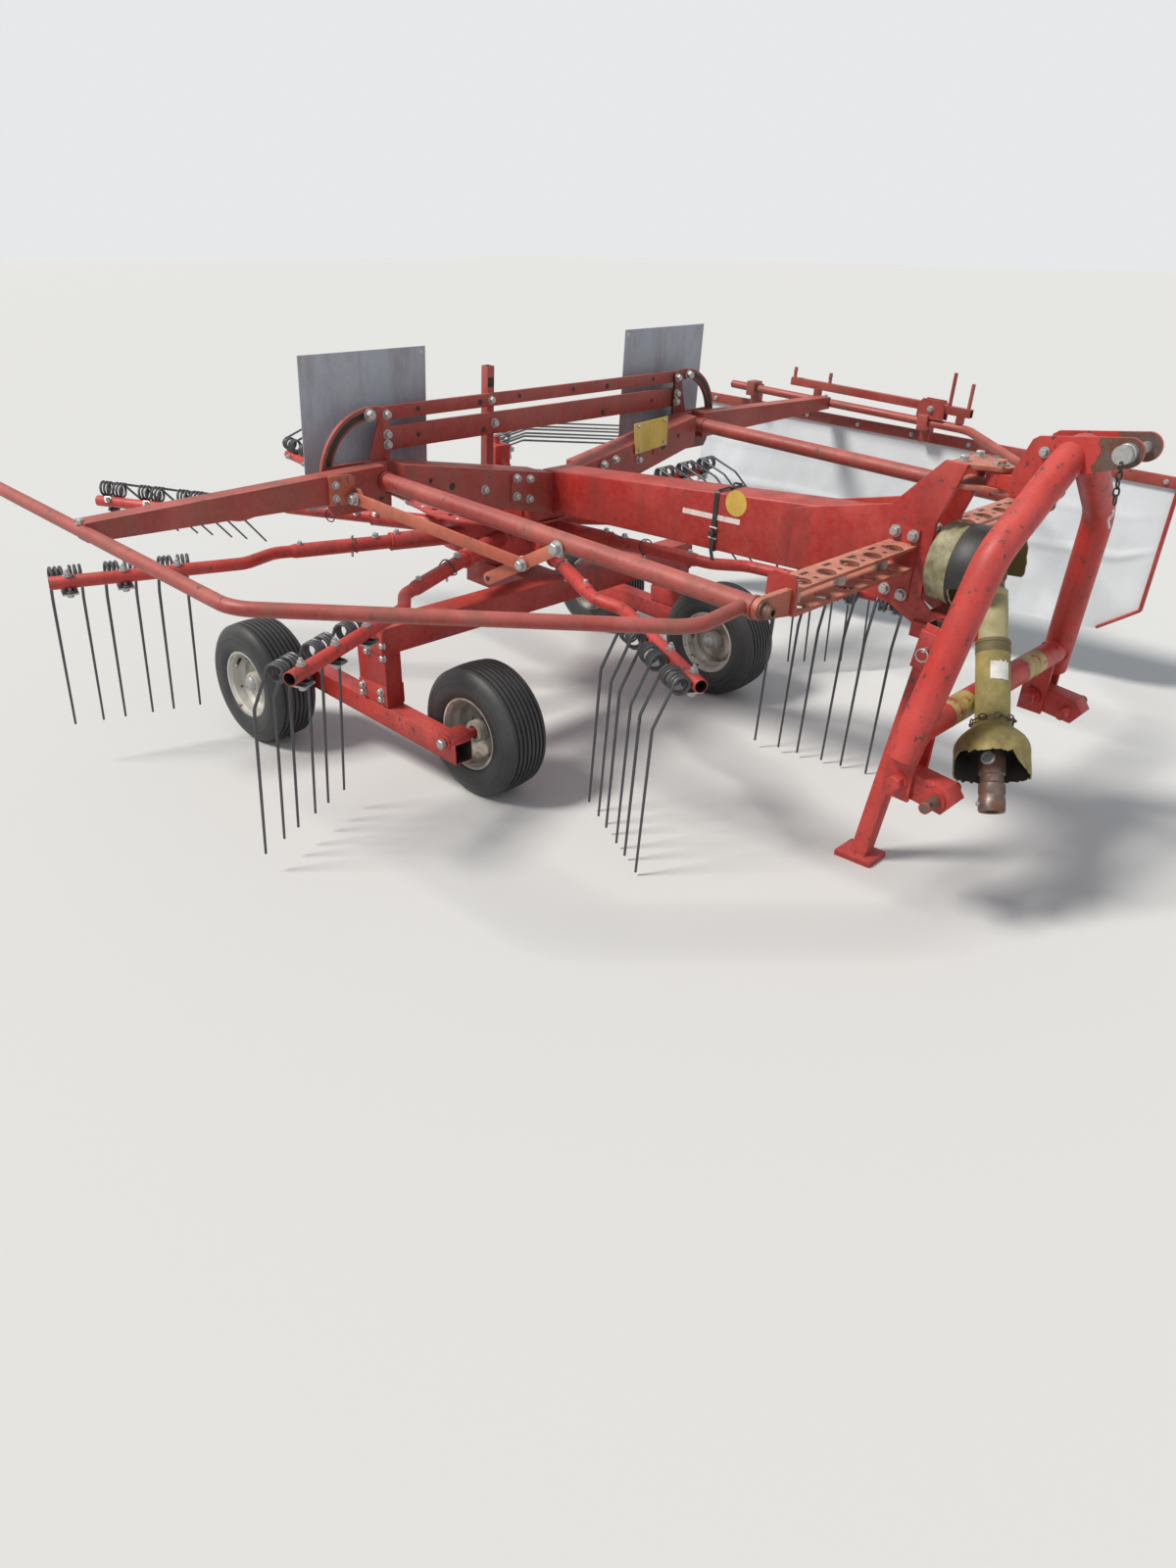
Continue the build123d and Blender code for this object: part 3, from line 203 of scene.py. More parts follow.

# %% [markdown]
# ## Weathered paint
# The red paint is pink where the sun bleached it, brown where hay dust and rain dried on it,
# and flaked to primer in small chips. The sky-facing mix is partly that bleaching and partly a
# painted highlight on top surfaces, which leaves undersides darker as painted shade. Painted
# masks would need a layout for each part, so four noises at different scales do it for all:
# large patches and the sky for fading and painted highlight, a fine one for chalking, a
# smeared one for dirt, and sharp flecks for the chips.

# %% Weathered paint
def make_weathered_paint():
    """Paint that fades towards the sky, which also paints a highlight on top and shade below, chips to bare
    metal or rust, and holds dirt.
    """
    tree, given = new_group("Weathered paint with painted highlight", ("Paint", "Faded", "Bare", "Dirt"),
                            ("Fade", "Chips", "Dirtiness", "Chip scale"), ("Roughness", "Height"))
    # Top surfaces lean to the faded colour: partly sun bleaching, partly a painted highlight, with undersides
    # left darker as painted shade.
    top_fade_and_highlight = math_node(tree, "MULTIPLY", upward(tree), given["Fade"])
    broad = noise_at(tree, 5.0, detail=6.0, roughness=0.62)
    patches = remap(tree, broad, 0.36, 0.68, -0.38, 0.38)
    faded = math_node(tree, "ADD", top_fade_and_highlight, patches, clamp=True)
    color = mix_colors(tree, faded, given["Paint"], given["Faded"])
    fine = noise_at(tree, 60.0, detail=3.0, roughness=0.7)
    color = mix_colors(tree, remap(tree, fine, 0.35, 0.75, 0.0, 0.34), color, given["Faded"])
    smear = noise_at(tree, 9.0, detail=8.0, roughness=0.75, stretch=(1, 1, 0.25))
    dirty = math_node(tree, "MULTIPLY", remap(tree, smear, 0.46, 0.66), given["Dirtiness"])
    color = mix_colors(tree, dirty, color, given["Dirt"])
    flecks = noise_at(tree, given["Chip scale"], detail=5.0, roughness=0.72)
    edge = math_node(tree, "SUBTRACT", 0.76, math_node(tree, "MULTIPLY", given["Chips"], 0.2))
    chips = math_node(tree, "MULTIPLY", math_node(tree, "SUBTRACT", flecks, edge), 40.0, clamp=True)
    color = mix_colors(tree, chips, color, given["Bare"])
    chalk = math_node(tree, "MULTIPLY", faded, 0.18)
    rough = math_node(tree, "ADD", remap(tree, smear, 0.3, 0.7, 0.34, 0.56), chalk, clamp=True)
    height = math_node(tree, "SUBTRACT", math_node(tree, "MULTIPLY", fine, 0.25), chips)
    put_out(tree, Color=color, Roughness=rough, Height=height)
    return tree


PAINT_WEAR_AND_HIGHLIGHT = make_weathered_paint()

# %% [markdown]
# ## Worn metal and settled dust
# Zinc bolts go grey and the springs and the yoke rust in patches, while rubber, plastic and
# cloth only gather dust, most of it on top. Rust could be another colour of paint, but it
# also takes away the metal's shine, so it has a group of its own that puts out how metallic
# the surface still is.

# %% Worn metal and dust
def make_worn_metal():
    """Bare or plated metal that dulls and rusts in patches."""
    tree, given = new_group("Worn metal", ("Metal", "Rust"), ("Rustiness", "Scale"),
                            ("Roughness", "Metallic", "Height"))
    flow = noise_at(tree, given["Scale"], detail=8.0, roughness=0.7)
    edge = math_node(tree, "SUBTRACT", 0.8, math_node(tree, "MULTIPLY", given["Rustiness"], 0.5))
    rust = math_node(tree, "MULTIPLY", math_node(tree, "SUBTRACT", flow, edge), 7.0, clamp=True)
    fine = noise_at(tree, 140.0, detail=2.0)
    grime = remap(tree, fine, 0.3, 0.7, 0.0, 0.25)
    shaded = mix_colors(tree, grime, given["Metal"], (0.1, 0.09, 0.08, 1))
    color = mix_colors(tree, rust, shaded, given["Rust"])
    dulled = math_node(tree, "MULTIPLY", rust, 0.3)
    rough = math_node(tree, "ADD", remap(tree, flow, 0.3, 0.7, 0.44, 0.6), dulled)
    metallic = remap(tree, rust, 0.0, 1.0, 0.85, 0.05)
    put_out(tree, Color=color, Roughness=rough, Metallic=metallic, Height=fine)
    return tree


def make_settled_dust():
    """Dust and dry mud over any colour, thickest on what faces the sky."""
    tree, given = new_group("Settled dust", ("Color", "Dust"), ("Amount", "Scale"),
                            ("Roughness", "Height"))
    blotch = noise_at(tree, given["Scale"], detail=7.0, roughness=0.7)
    on_top = math_node(tree, "MULTIPLY", upward(tree), 0.3)
    lying = math_node(tree, "ADD", remap(tree, blotch, 0.35, 0.72), on_top)
    cover = math_node(tree, "MULTIPLY", lying, given["Amount"], clamp=True)
    color = mix_colors(tree, cover, given["Color"], given["Dust"])
    put_out(tree, Color=color, Roughness=remap(tree, cover, 0.0, 1.0, 0.45, 0.85), Height=blotch)
    return tree


WORN_METAL = make_worn_metal()
SETTLED_DUST = make_settled_dust()

# %% [markdown]
# ## Finishes
# Each finish on the machine gets its own material: faded red paint, cream rims, grey sign
# plates, dusty rubber, black spring steel, dull zinc, dirty yellow plastic and coated cloth.
# A near black and a darker yellow are painted shade, for holes, bores and recesses.
# The Principled shader stays in the material, where its gloss can be read by other programs,
# and the groups feed it only what changes over the surface.

# %% Helpers for finishes
def new_material(name, group, values, bump=0.15):
    """A material that reads its colour, roughness and relief from a wear group."""
    material = bpy.data.materials.new(name)
    material.use_nodes = True
    tree = material.node_tree
    wear = tree.nodes.new("ShaderNodeGroup")
    wear.node_tree = group
    for word, value in values.items():
        wear.inputs[word].default_value = (*value, 1) if isinstance(value, tuple) else value
    relief = add_node(tree, "ShaderNodeBump", Strength=bump, Distance=0.002,
                      Height=wear.outputs["Height"])
    principled = tree.nodes["Principled BSDF"]
    tree.links.new(wear.outputs["Color"], principled.inputs["Base Color"])
    tree.links.new(wear.outputs["Roughness"], principled.inputs["Roughness"])
    tree.links.new(relief.outputs["Normal"], principled.inputs["Normal"])
    if "Metallic" in wear.outputs:
        tree.links.new(wear.outputs["Metallic"], principled.inputs["Metallic"])
    return material


def paint(name, fresh, faded, bare, dirt, fade, chips, dirtiness, scale):
    """A painted metal finish."""
    return new_material(name, PAINT_WEAR_AND_HIGHLIGHT, {
        "Paint": fresh, "Faded": faded, "Bare": bare, "Dirt": dirt, "Fade": fade,
        "Chips": chips, "Dirtiness": dirtiness, "Chip scale": scale})


def metal(name, color, rust, rustiness, scale):
    """A bare or plated metal finish."""
    return new_material(name, WORN_METAL, {
        "Metal": color, "Rust": rust, "Rustiness": rustiness, "Scale": scale})


def dusty(name, color, dust, amount, scale, bump=0.15):
    """Rubber, plastic or cloth under dust."""
    return new_material(name, SETTLED_DUST, {
        "Color": color, "Dust": dust, "Amount": amount, "Scale": scale}, bump)


print("wear groups to choose from:", len(bpy.data.node_groups))

# %% Paints
# The faded colour on top surfaces is partly sun bleaching and partly a painted highlight.
RUST_BROWN = (0.11, 0.035, 0.016)
RED = paint("faded red paint", (0.30, 0.012, 0.009), (0.50, 0.082, 0.062),
            (0.10, 0.035, 0.024), (0.13, 0.028, 0.02), fade=0.6, chips=0.62, dirtiness=0.6, scale=38.0)
RED_TUBE = paint("bright red tube paint", (0.40, 0.019, 0.012), (0.54, 0.072, 0.062),
                 (0.09, 0.030, 0.024), (0.15, 0.032, 0.022), fade=0.6, chips=0.8, dirtiness=0.55, scale=42.0)
RED_DUSTY = paint("dust-dulled red paint", (0.25, 0.027, 0.020), (0.41, 0.100, 0.082),
                  (0.12, 0.05, 0.035), (0.17, 0.075, 0.048), fade=0.8, chips=0.66, dirtiness=0.7, scale=34.0)
RED_DARK = paint("rusting red paint", (0.17, 0.020, 0.014), (0.33, 0.055, 0.038),
                 RUST_BROWN, (0.06, 0.026, 0.018), fade=0.5, chips=0.85, dirtiness=0.9, scale=24.0)
RED_PALE = paint("chalky red paint", (0.26, 0.042, 0.026), (0.53, 0.20, 0.135),
                 (0.16, 0.055, 0.032), (0.16, 0.06, 0.036), fade=1.0, chips=0.72, dirtiness=0.6, scale=30.0)
RED_STAY = paint("sun-bleached red paint", (0.38, 0.075, 0.04), (0.55, 0.19, 0.12),
                 (0.16, 0.055, 0.032), (0.22, 0.08, 0.05), fade=0.8, chips=0.7, dirtiness=0.6, scale=30.0)
CREAM = paint("dirty cream paint", (0.48, 0.46, 0.41), (0.60, 0.58, 0.54),
              RUST_BROWN, (0.17, 0.13, 0.095), fade=0.4, chips=0.68, dirtiness=0.85, scale=28.0)
SIGN_GREY = paint("weathered grey plate", (0.31, 0.335, 0.385), (0.41, 0.42, 0.44),
                  (0.3, 0.3, 0.3), (0.20, 0.185, 0.19), fade=0.4, chips=0.4, dirtiness=0.7, scale=30.0)
WHITE_STRIPE = paint("worn white stripe", (0.66, 0.58, 0.55), (0.74, 0.70, 0.66),
                     (0.40, 0.05, 0.04), (0.42, 0.16, 0.13), fade=0.3, chips=0.72, dirtiness=0.5, scale=60.0)
LABEL_YELLOW = paint("blank yellow plate", (0.58, 0.38, 0.05), (0.64, 0.50, 0.18),
                     (0.30, 0.24, 0.15), (0.34, 0.20, 0.05), fade=0.3, chips=0.5, dirtiness=0.6, scale=60.0)
BAND_YELLOW = paint("worn yellow band", (0.42, 0.34, 0.10), (0.52, 0.45, 0.22),
                    (0.30, 0.04, 0.03), (0.22, 0.12, 0.05), fade=0.4, chips=1.0, dirtiness=0.9, scale=34.0)
print("materials with the paints, the frame's own among them:", len(bpy.data.materials))

# %% Metals, rubber, plastic and cloth
ZINC = metal("dull zinc", (0.46, 0.46, 0.45), (0.20, 0.13, 0.08), rustiness=0.32, scale=60.0)
STEEL = metal("worn bare steel", (0.30, 0.27, 0.25), (0.14, 0.06, 0.035), rustiness=0.6, scale=25.0)
RUSTY = metal("rusty steel", (0.17, 0.13, 0.115), (0.13, 0.055, 0.03), rustiness=0.75, scale=32.0)
SPRING = metal("black spring steel", (0.095, 0.098, 0.108), (0.065, 0.045, 0.032), rustiness=0.5, scale=14.0)
RUBBER = dusty("dusty rubber", (0.017, 0.018, 0.020), (0.095, 0.092, 0.088),
               amount=0.32, scale=9.0, bump=0.25)
BLACK_RUBBER = dusty("black rubber", (0.014, 0.014, 0.015), (0.08, 0.075, 0.065), amount=0.3, scale=30.0)
CUP_CREAM = dusty("cream plastic cup", (0.44, 0.41, 0.25), (0.10, 0.09, 0.045),
                  amount=1.1, scale=11.0, bump=0.3)
SHAFT_YELLOW = dusty("dirty yellow plastic", (0.38, 0.31, 0.09), (0.15, 0.12, 0.05), amount=0.95, scale=13.0)
SHAFT_PALE = dusty("bleached yellow plastic", (0.44, 0.39, 0.20), (0.24, 0.21, 0.11), amount=0.85, scale=12.0)
# A darker yellow, painted shade on the collar of the shaft's guard and inside the drive cup.
SHAFT_PAINTED_SHADE = dusty("yellow plastic with painted shade", (0.16, 0.125, 0.04), (0.07, 0.06, 0.03), amount=0.8, scale=20.0)
CLOTH = dusty("coated white cloth", (0.66, 0.70, 0.74), (0.44, 0.44, 0.40), amount=0.4, scale=3.0, bump=0.1)
BLANK_LABEL = dusty("blank white label", (0.70, 0.70, 0.68), (0.34, 0.31, 0.22), amount=0.7, scale=26.0)
# Near black, painted shade for the insides of holes, bores, open tube ends, slots and the bell.
PAINTED_SHADE_BLACK = dusty("near-black painted shade", (0.012, 0.010, 0.009), (0.03, 0.02, 0.015), amount=0.5, scale=30.0)
print("materials in all:", len(bpy.data.materials))

# %% [markdown]
# ## Tubes swept along a path
# Bent tubes, spring wire, weld beads and rubber rings are one round section carried along a
# path. Curve objects could make them, but a mesh keeps its ends and its joints under control,
# and many small things can share one piece. Each ring of points is turned as little as it can
# be from the ring before it, so that a tube never twists.

# %% Sweep a tube
def neighbours(rows, closed=False):
    """Each row with the row after it, and the last with the first in a closed form."""
    return list(zip(rows, rows[1:])) + ([(rows[-1], rows[0])] if closed else [])


def directions(points, closed):
    """The direction of a path at each of its points."""
    before = [points[-1] if closed else points[0]] + points[:-1]
    after = points[1:] + [points[0] if closed else points[-1]]
    return [(b - a).normalized() for a, b in zip(before, after)]


def ring_of(bm, centre, normal, across, radius, sides):
    """A ring of new vertices about a centre."""
    return [bm.verts.new(centre + radius * (normal * cos(2 * pi * k / sides)
                                            + across * sin(2 * pi * k / sides))) for k in range(sides)]


def sweep(bm, path, radius, sides, material=0, closed=False):
    """A round tube along a path; radius may be a number or a list with one for each point."""
    points = [Vector(p) for p in path]
    radii = radius if isinstance(radius, list) else [radius] * len(points)
    ways = directions(points, closed)
    rings, normal = [], ways[0].orthogonal()
    for point, tangent, size in zip(points, ways, radii):
        normal = (normal - tangent * normal.dot(tangent)).normalized()
        rings.append(ring_of(bm, point, normal, tangent.cross(normal), size, sides))
    for first, second in neighbours(rings, closed):
        shift = 0
        if closed and second is rings[0]:
            shift = min(range(sides), key=lambda k: (second[k].co - first[0].co).length)
        for k in range(sides):
            face = bm.faces.new((first[k], first[(k + 1) % sides], second[(k + 1 + shift) % sides],
                                 second[(k + shift) % sides]))
            face.material_index = material
    if not closed:
        bm.faces.new(reversed(rings[0])).material_index = material
        bm.faces.new(rings[-1]).material_index = material


print("a path of three points has", len(neighbours([0, 1, 2])), "stretches, and closed",
      len(neighbours([0, 1, 2], True)))

# %% Arcs and rounded corners
def arc(centre, radius, start, end, steps):
    """Points of an arc in a plane, from one angle in degrees to another."""
    angles = [radians(start + (end - start) * k / steps) for k in range(steps + 1)]
    return [(centre[0] + radius * cos(a), centre[1] + radius * sin(a)) for a in angles]


def rounded(points, radius, steps):
    """A path through points, with its corners turned at a radius."""
    points = [Vector(p) for p in points]
    path = [points[0]]
    for before, corner, after in zip(points, points[1:], points[2:]):
        back, on = (before - corner).normalized(), (after - corner).normalized()
        reach = min(radius / tan(back.angle(on) / 2), (before - corner).length / 2,
                    (after - corner).length / 2)
        first, last = corner + back * reach, corner + on * reach
        for step in range(steps + 1):
            t = step / steps
            path.append(first.lerp(corner, t).lerp(corner.lerp(last, t), t))
    return path + [points[-1]]


print("a quarter turn in six steps has", len(arc((0, 0), 1, 0, 90, 6)), "points")

# %% [markdown]
# ## Turned forms, bolts and rods
# Washers, caps, bushes, tyres and guards are round about an axis, so each is a short list of
# distances and radii, turned as on a lathe. A bolt is such a form with six sides on one with
# twenty. Ready-made cylinders would leave every edge sharp; here each profile has its own
# chamfers, and each stretch of it may have its own finish.

# %% Turn a form
def turned(bm, origin, axis, profile, sides=24, material=0, closed=False):
    """A form turned about an axis. The profile lists (distance along, radius); the material
    is one number, or one for each stretch of the profile."""
    origin, axis = Vector(origin), Vector(axis).normalized()
    normal = axis.orthogonal().normalized()
    rings = []
    for along, radius in profile:
        centre = origin + axis * along
        rings.append(ring_of(bm, centre, normal, axis.cross(normal), radius, sides) if radius
                     else [bm.verts.new(centre)])
    finishes = material if isinstance(material, list) else [material] * len(rings)
    for (first, second), finish in zip(neighbours(rings, closed), finishes):
        for k in range(sides):
            corners = []
            for ring, step in ((first, k), (first, k + 1), (second, k + 1), (second, k)):
                corner = ring[step % len(ring)]
                if corner not in corners:
                    corners.append(corner)
            if len(corners) > 2:
                bm.faces.new(corners).material_index = finish


def bush(bm, place, axis, inner, outer, thick, material=0):
    """A plain ring with a hole, such as a bush or a collar."""
    profile = [(0, inner), (0, outer), (thick, outer), (thick, inner)]
    turned(bm, place, axis, profile, 28, material, closed=True)


print("round builders: turned and bush")

# %% Rods, bolts and marks
def rod(bm, start, end, radius, sides, material=0):
    """A round bar between two points, with a small chamfer at each end."""
    start, end = Vector(start), Vector(end)
    length, edge = (end - start).length, radius * 0.12
    profile = [(0, 0), (0, radius - edge), (edge, radius),
               (length - edge, radius), (length, radius - edge), (length, 0)]
    turned(bm, start, end - start, profile, sides, material)


def bolt(bm, place, axis, size, material=0, washer=True):
    """A hexagon head on a washer, standing out of a face; size is across the flats, and every
    other measure is in proportion to it."""
    place, axis = Vector(place), Vector(axis).normalized()
    wide = size * 0.74
    if washer:
        disc = [(0, 0), (0, wide), (size * 0.12, wide), (size * 0.14, 0)]
        turned(bm, place, axis, disc, 20, material)
    radius, height = size / 2 / cos(pi / 6), size * 0.62
    head = [(0, 0), (0, radius), (height * 0.82, radius), (height, radius * 0.84), (height, 0)]
    turned(bm, place + axis * size * 0.12, axis, head, 6, material)


def bolts(bm, places, axis, size, material=0):
    """The same bolt at several places."""
    for place in places:
        bolt(bm, place, axis, size, material)


def mark(bm, place, axis, radius, material=0, height=0.6):
    """A thin round patch on a face; in the near-black finish it is painted shade for the mouth of a hole."""
    turned(bm, place, axis, [(0, 0), (0, radius), (height, radius), (height, 0)], 28, material)


print("a bolt of 19 mm is", round(19 / cos(pi / 6), 1), "mm over its corners")

# %% [markdown]
# ## Plates and straps
# Brackets, stripes and rubber straps are flat. A slab is an outline in two directions with a
# thickness along the third, and a ribbon is a flat section carried along a path. Scaled cubes
# would only give boxes, while an outline can follow the real plate's corners.

# %% Cut a slab, lay a ribbon
def slab(bm, outline, origin, across, upward_axis, thickness, material=0):
    """A flat plate cut to an outline; its thickness is spread about the outline's plane."""
    origin, across, upward_axis = Vector(origin), Vector(across), Vector(upward_axis)
    normal = across.cross(upward_axis).normalized()
    low = [bm.verts.new(origin + across * a + upward_axis * b - normal * thickness / 2)
           for a, b in outline]
    high = [bm.verts.new(v.co + normal * thickness) for v in low]
    bm.faces.new(reversed(low)).material_index = material
    bm.faces.new(high).material_index = material
    for (a, b), (c, d) in zip(neighbours(low, True), neighbours(high, True)):
        bm.faces.new((a, b, d, c)).material_index = material


def ribbon(bm, path, wide, width, thickness, material=0, closed=False):
    """A flat strap along a path; wide is the direction across its face."""
    points, wide = [Vector(p) for p in path], Vector(wide).normalized()
    rings = []
    for point, way in zip(points, directions(points, closed)):
        out = way.cross(wide)
        rings.append([bm.verts.new(point + wide * a * width / 2 + out * b * thickness / 2)
                      for a, b in ((-1, -1), (1, -1), (1, 1), (-1, 1))])
    for first, second in neighbours(rings, closed):
        for k in range(4):
            face = bm.faces.new((first[k], first[(k + 1) % 4], second[(k + 1) % 4], second[k]))
            face.material_index = material
    if not closed:
        bm.faces.new(reversed(rings[0])).material_index = material
        bm.faces.new(rings[-1]).material_index = material


print("flat builders: slab and ribbon")

# %% [markdown]
# ## From mesh to piece
# Each mesh is moved to its place, given its finishes and tied to the body that it moves with.
# A bevel takes the razor edge off plate, and its result is kept in the mesh, so that nothing
# is left to be worked out later.

# %% Make a piece
def soften(obj, width):
    """Rounds the sharp edges of a piece by a width in metres, and keeps the result."""
    modifier = obj.modifiers.new("edges", "BEVEL")
    modifier.width = width
    modifier.segments = 2
    modifier.limit_method = "ANGLE"
    modifier.angle_limit = radians(38)
    modifier.use_clamp_overlap = True
    depsgraph = bpy.context.evaluated_depsgraph_get()
    softened = bpy.data.meshes.new_from_object(obj.evaluated_get(depsgraph))
    obj.modifiers.clear()
    obj.data = softened


def piece(name, bm, body, materials, place=PARKED, bevel=0.0, smooth=35, instead_of=None):
    """Turns a mesh into a piece that rides on a body; instead_of is the CAD node it replaces."""
    bmesh.ops.recalc_face_normals(bm, faces=bm.faces)
    mesh = bpy.data.meshes.new(name)
    bm.to_mesh(mesh)
    bm.free()
    mesh.transform(place)
    for material in materials:
        mesh.materials.append(material)
    obj = bpy.data.objects.new(name, mesh)
    bpy.context.scene.collection.objects.link(obj)
    if bevel:
        soften(obj, bevel)
    obj.data.shade_smooth()
    obj.data.set_sharp_from_angle(angle=radians(smooth))
    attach(obj, body)
    if instead_of:
        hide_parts(instead_of)
    return obj


# %% [markdown]
# ## The welded frame
# The beam, its head, the cross member and the sectors are folded and welded plate. Plate is
# never razor sharp, and a thin bright line along each edge is what makes it read as metal.
# The CAD shapes are right, so each is copied, its edges are rounded by a bevel, and the copy
# takes the place of the sharp one. Where the real tube is open, its end face becomes a mouth,
# whose inside is near black as painted shade.

# %% Helpers for plates
def open_end(bm, way, wall, depth):
    """Turns the end face that looks most along a direction into the mouth of a hollow tube, with its inside
    near black as painted shade.
    """
    bm.normal_update()
    way = Vector(way).normalized()
    faces = [f for f in bm.faces if f.normal.dot(way) > 0.9]
    mouth = max(faces, key=lambda f: f.calc_center_median().dot(way))
    bmesh.ops.inset_individual(bm, faces=[mouth], thickness=wall)
    deep = bmesh.ops.extrude_discrete_faces(bm, faces=[mouth])["faces"]
    bmesh.ops.translate(bm, verts=list(deep[0].verts), vec=-way * depth)
    for face in deep + [f for e in deep[0].edges for f in e.link_faces]:
        face.material_index = 1


def edged(node, material, width, mouths=()):
    """A CAD plate with its edges rounded, in place of the sharp one; mouths are its open ends."""
    bm = bmesh.new()
    bm.from_mesh(nodes[node].data)
    bmesh.ops.remove_doubles(bm, verts=bm.verts, dist=0.00002)
    bmesh.ops.dissolve_limit(bm, angle_limit=radians(1), verts=bm.verts, edges=bm.edges)
    for way, wall, depth in mouths:
        open_end(bm, way, wall, depth)
    return piece(f"{node}_edged", bm, nodes[node]["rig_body"], [material, PAINTED_SHADE_BLACK],
                 Matrix.Identity(4), bevel=width, smooth=40, instead_of=node)


print("CAD nodes to keep or to replace:", len(nodes))

# %% Frame plates
# Each plate's finish, and how wide its edges are rounded in millimetres.
PLATES = {
    "main_beam": (RED, 6), "beam_head": (RED, 2), "cross_member": (RED_DUSTY, 4), "gearbox": (RED, 6),
    "height_screw": (RED_TUBE, 3), "sector_left": (RED_DARK, 2), "sector_right": (RED_DUSTY, 2),
    "link_bars": (RED_DUSTY, 2), "arm_rack_left": (RED_PALE, 1.5), "arm_rack_right": (RED_PALE, 1.5),
    "upper_fork": (RED_PALE, 2), "lower_fork": (RED, 2), "axle_beam": (RED, 6),
    "leg_socket": (RED_TUBE, 1.5), "parking_leg": (RED_TUBE, 2), "lower_hitch_left": (RED_TUBE, 3),
    "lower_hitch_right": (RED_TUBE, 3), "walking_beam_left": (RED_TUBE, 5),
    "walking_beam_right": (RED_TUBE, 5), "storage_bar": (RED_DUSTY, 2), "curtain_rail": (RED_DUSTY, 2),
}
# The way that each open end looks, and the wall and depth of its mouth in metres.
MOUTHS = {
    "walking_beam_left": [(X, 0.005, 0.09)], "walking_beam_right": [(X, 0.005, 0.09)],
    "link_bars": [(Z, 0.003, 0.06)], "storage_bar": [(X, 0.003, 0.05), (-X, 0.003, 0.05)],
    "parking_leg": [(Vector((0.18, 0, 0.98)), 0.004, 0.12)],
}
RACK_FLANGE = 79
for node, (material, width) in PLATES.items():
    plate = edged(node, material, width / 1000, MOUTHS.get(node, ()))
    if node.startswith("arm_rack"):
        plate.data.materials.append(RED)
        for face in plate.data.polygons:
            if abs((PARKED.inverted() @ face.center).y) < RACK_FLANGE:
                face.material_index = 2
for node, material in (("guard_left", RED_DUSTY), ("guard_right", RED_DUSTY), ("headstock", RED_TUBE),
                       ("input_shaft", STEEL), ("top_link_pin", ZINC)):
    nodes[node].data.materials.clear()
    nodes[node].data.materials.append(material)
print("frame plates:", len(PLATES))

# %% [markdown]
# ## Marks and fittings on the beam and the cross member
# Worn white stripes and a blank sticker mark the beam's sides. A rubber strap with a buckle
# goes round it, and a rubber tie lies across its top. The cross member has a blank plate on
# two upright bars and bolted pads. Images could show all this, but thin slabs have a true
# edge and keep it in every view. Near-black patches of less than a millimetre are painted
# shade for holes that nothing goes through.

# %% Places on a face
def front_face(x, spots, hand=1):
    """Places on a face that looks forward, from (y, z) on the left; hand -1 is the right."""
    return [(x, hand * y, z) for y, z in spots]


print("a place at the right:", front_face(336, [(480, 900)], -1))

# %% Marks on the main beam
BEAM_SIDE = 60
STRIPE = [(868, 877), (1072, 888), (1072, 903), (868, 892)]
STRAP_LOOP = [(61, 796), (61, 959), (58, 963), (-58, 963), (-61, 959), (-61, 796), (-58, 793), (58, 793)]
STRAP_TAIL = [(986, -62.5, 905), (988, -64.5, 880), (991, -64, 850), (990, -70, 800), (997, -66, 768)]
TIE = [(981, 58, 966), (975, 30, 972), (990, 0, 966), (1000, -30, 974), (985, -55, 966)]
bm = bmesh.new()
for hand in (-1, 1):
    slab(bm, STRIPE, (0, hand * (BEAM_SIDE + 0.2), 0), X, Z, 0.8, 0)
turned(bm, (1052, -BEAM_SIDE, 944), -Y, [(0, 0), (0, 36), (0.5, 36), (0.7, 35), (0.7, 0)], 48, 1)
ribbon(bm, front_face(985, STRAP_LOOP), X, 15, 2.4, 2, closed=True)
ribbon(bm, STRAP_TAIL, X, 12, 2.0, 2)
rod(bm, (986, -62, 846), (986, -76, 846), 9, 12, 2)
for z in (862, 832):
    rod(bm, (975, -66, z), (1001, -66, z), 3, 8, 3)
sweep(bm, rounded(TIE, 14, 4), 3, 8, 2)
piece("beam_marks", bm, "frame", [WHITE_STRIPE, LABEL_YELLOW, BLACK_RUBBER, ZINC])
print("marks on the beam: 2 stripes, 1 blank sticker, 1 strap and 1 tie")

# %% Cross member
CROSS_FACE, PAD = 336, 6
bm = bmesh.new()
slab(bm, [(312, 994), (486, 1004), (492, 907), (327, 892)], (CROSS_FACE + 5, 0, 0), Y, Z, 3, 1)
bolts(bm, front_face(CROSS_FACE + 6.4, ((334, 985), (468, 992), (474, 918), (344, 906))), X, 9, 2)
for y in (365, 440):
    bar = [(y - 14, 880), (y + 14, 884), (y + 14, 990), (y - 14, 988)]
    slab(bm, bar, (CROSS_FACE + 1.8, 0, 0), Y, Z, 3.4, 0)
for hand in (-1, 1):
    pad = [(hand * y, z) for y, z in ((150, 798), (150, 885), (245, 901), (245, 818))]
    slab(bm, pad, (CROSS_FACE + PAD / 2, 0, 0), Y, Z, PAD, 0)
    bolts(bm, front_face(CROSS_FACE + PAD, ((170, 880), (226, 890), (170, 818), (226, 834)), hand), X, 19, 2)
    bolt(bm, (CROSS_FACE, hand * 353, 872), X, 19, 2)
    # Near-black patches, painted shade for holes in the cross member.
    mark(bm, (CROSS_FACE, hand * 480, 900), X, 11, 3)
    mark(bm, (CROSS_FACE, hand * 560, 928), X, 8, 3)
piece("cross_member_fittings", bm, "frame", [RED_DUSTY, LABEL_YELLOW, ZINC, PAINTED_SHADE_BLACK],
      bevel=0.0006)
print("bolts on the cross member:", 4 + 2 * 5)
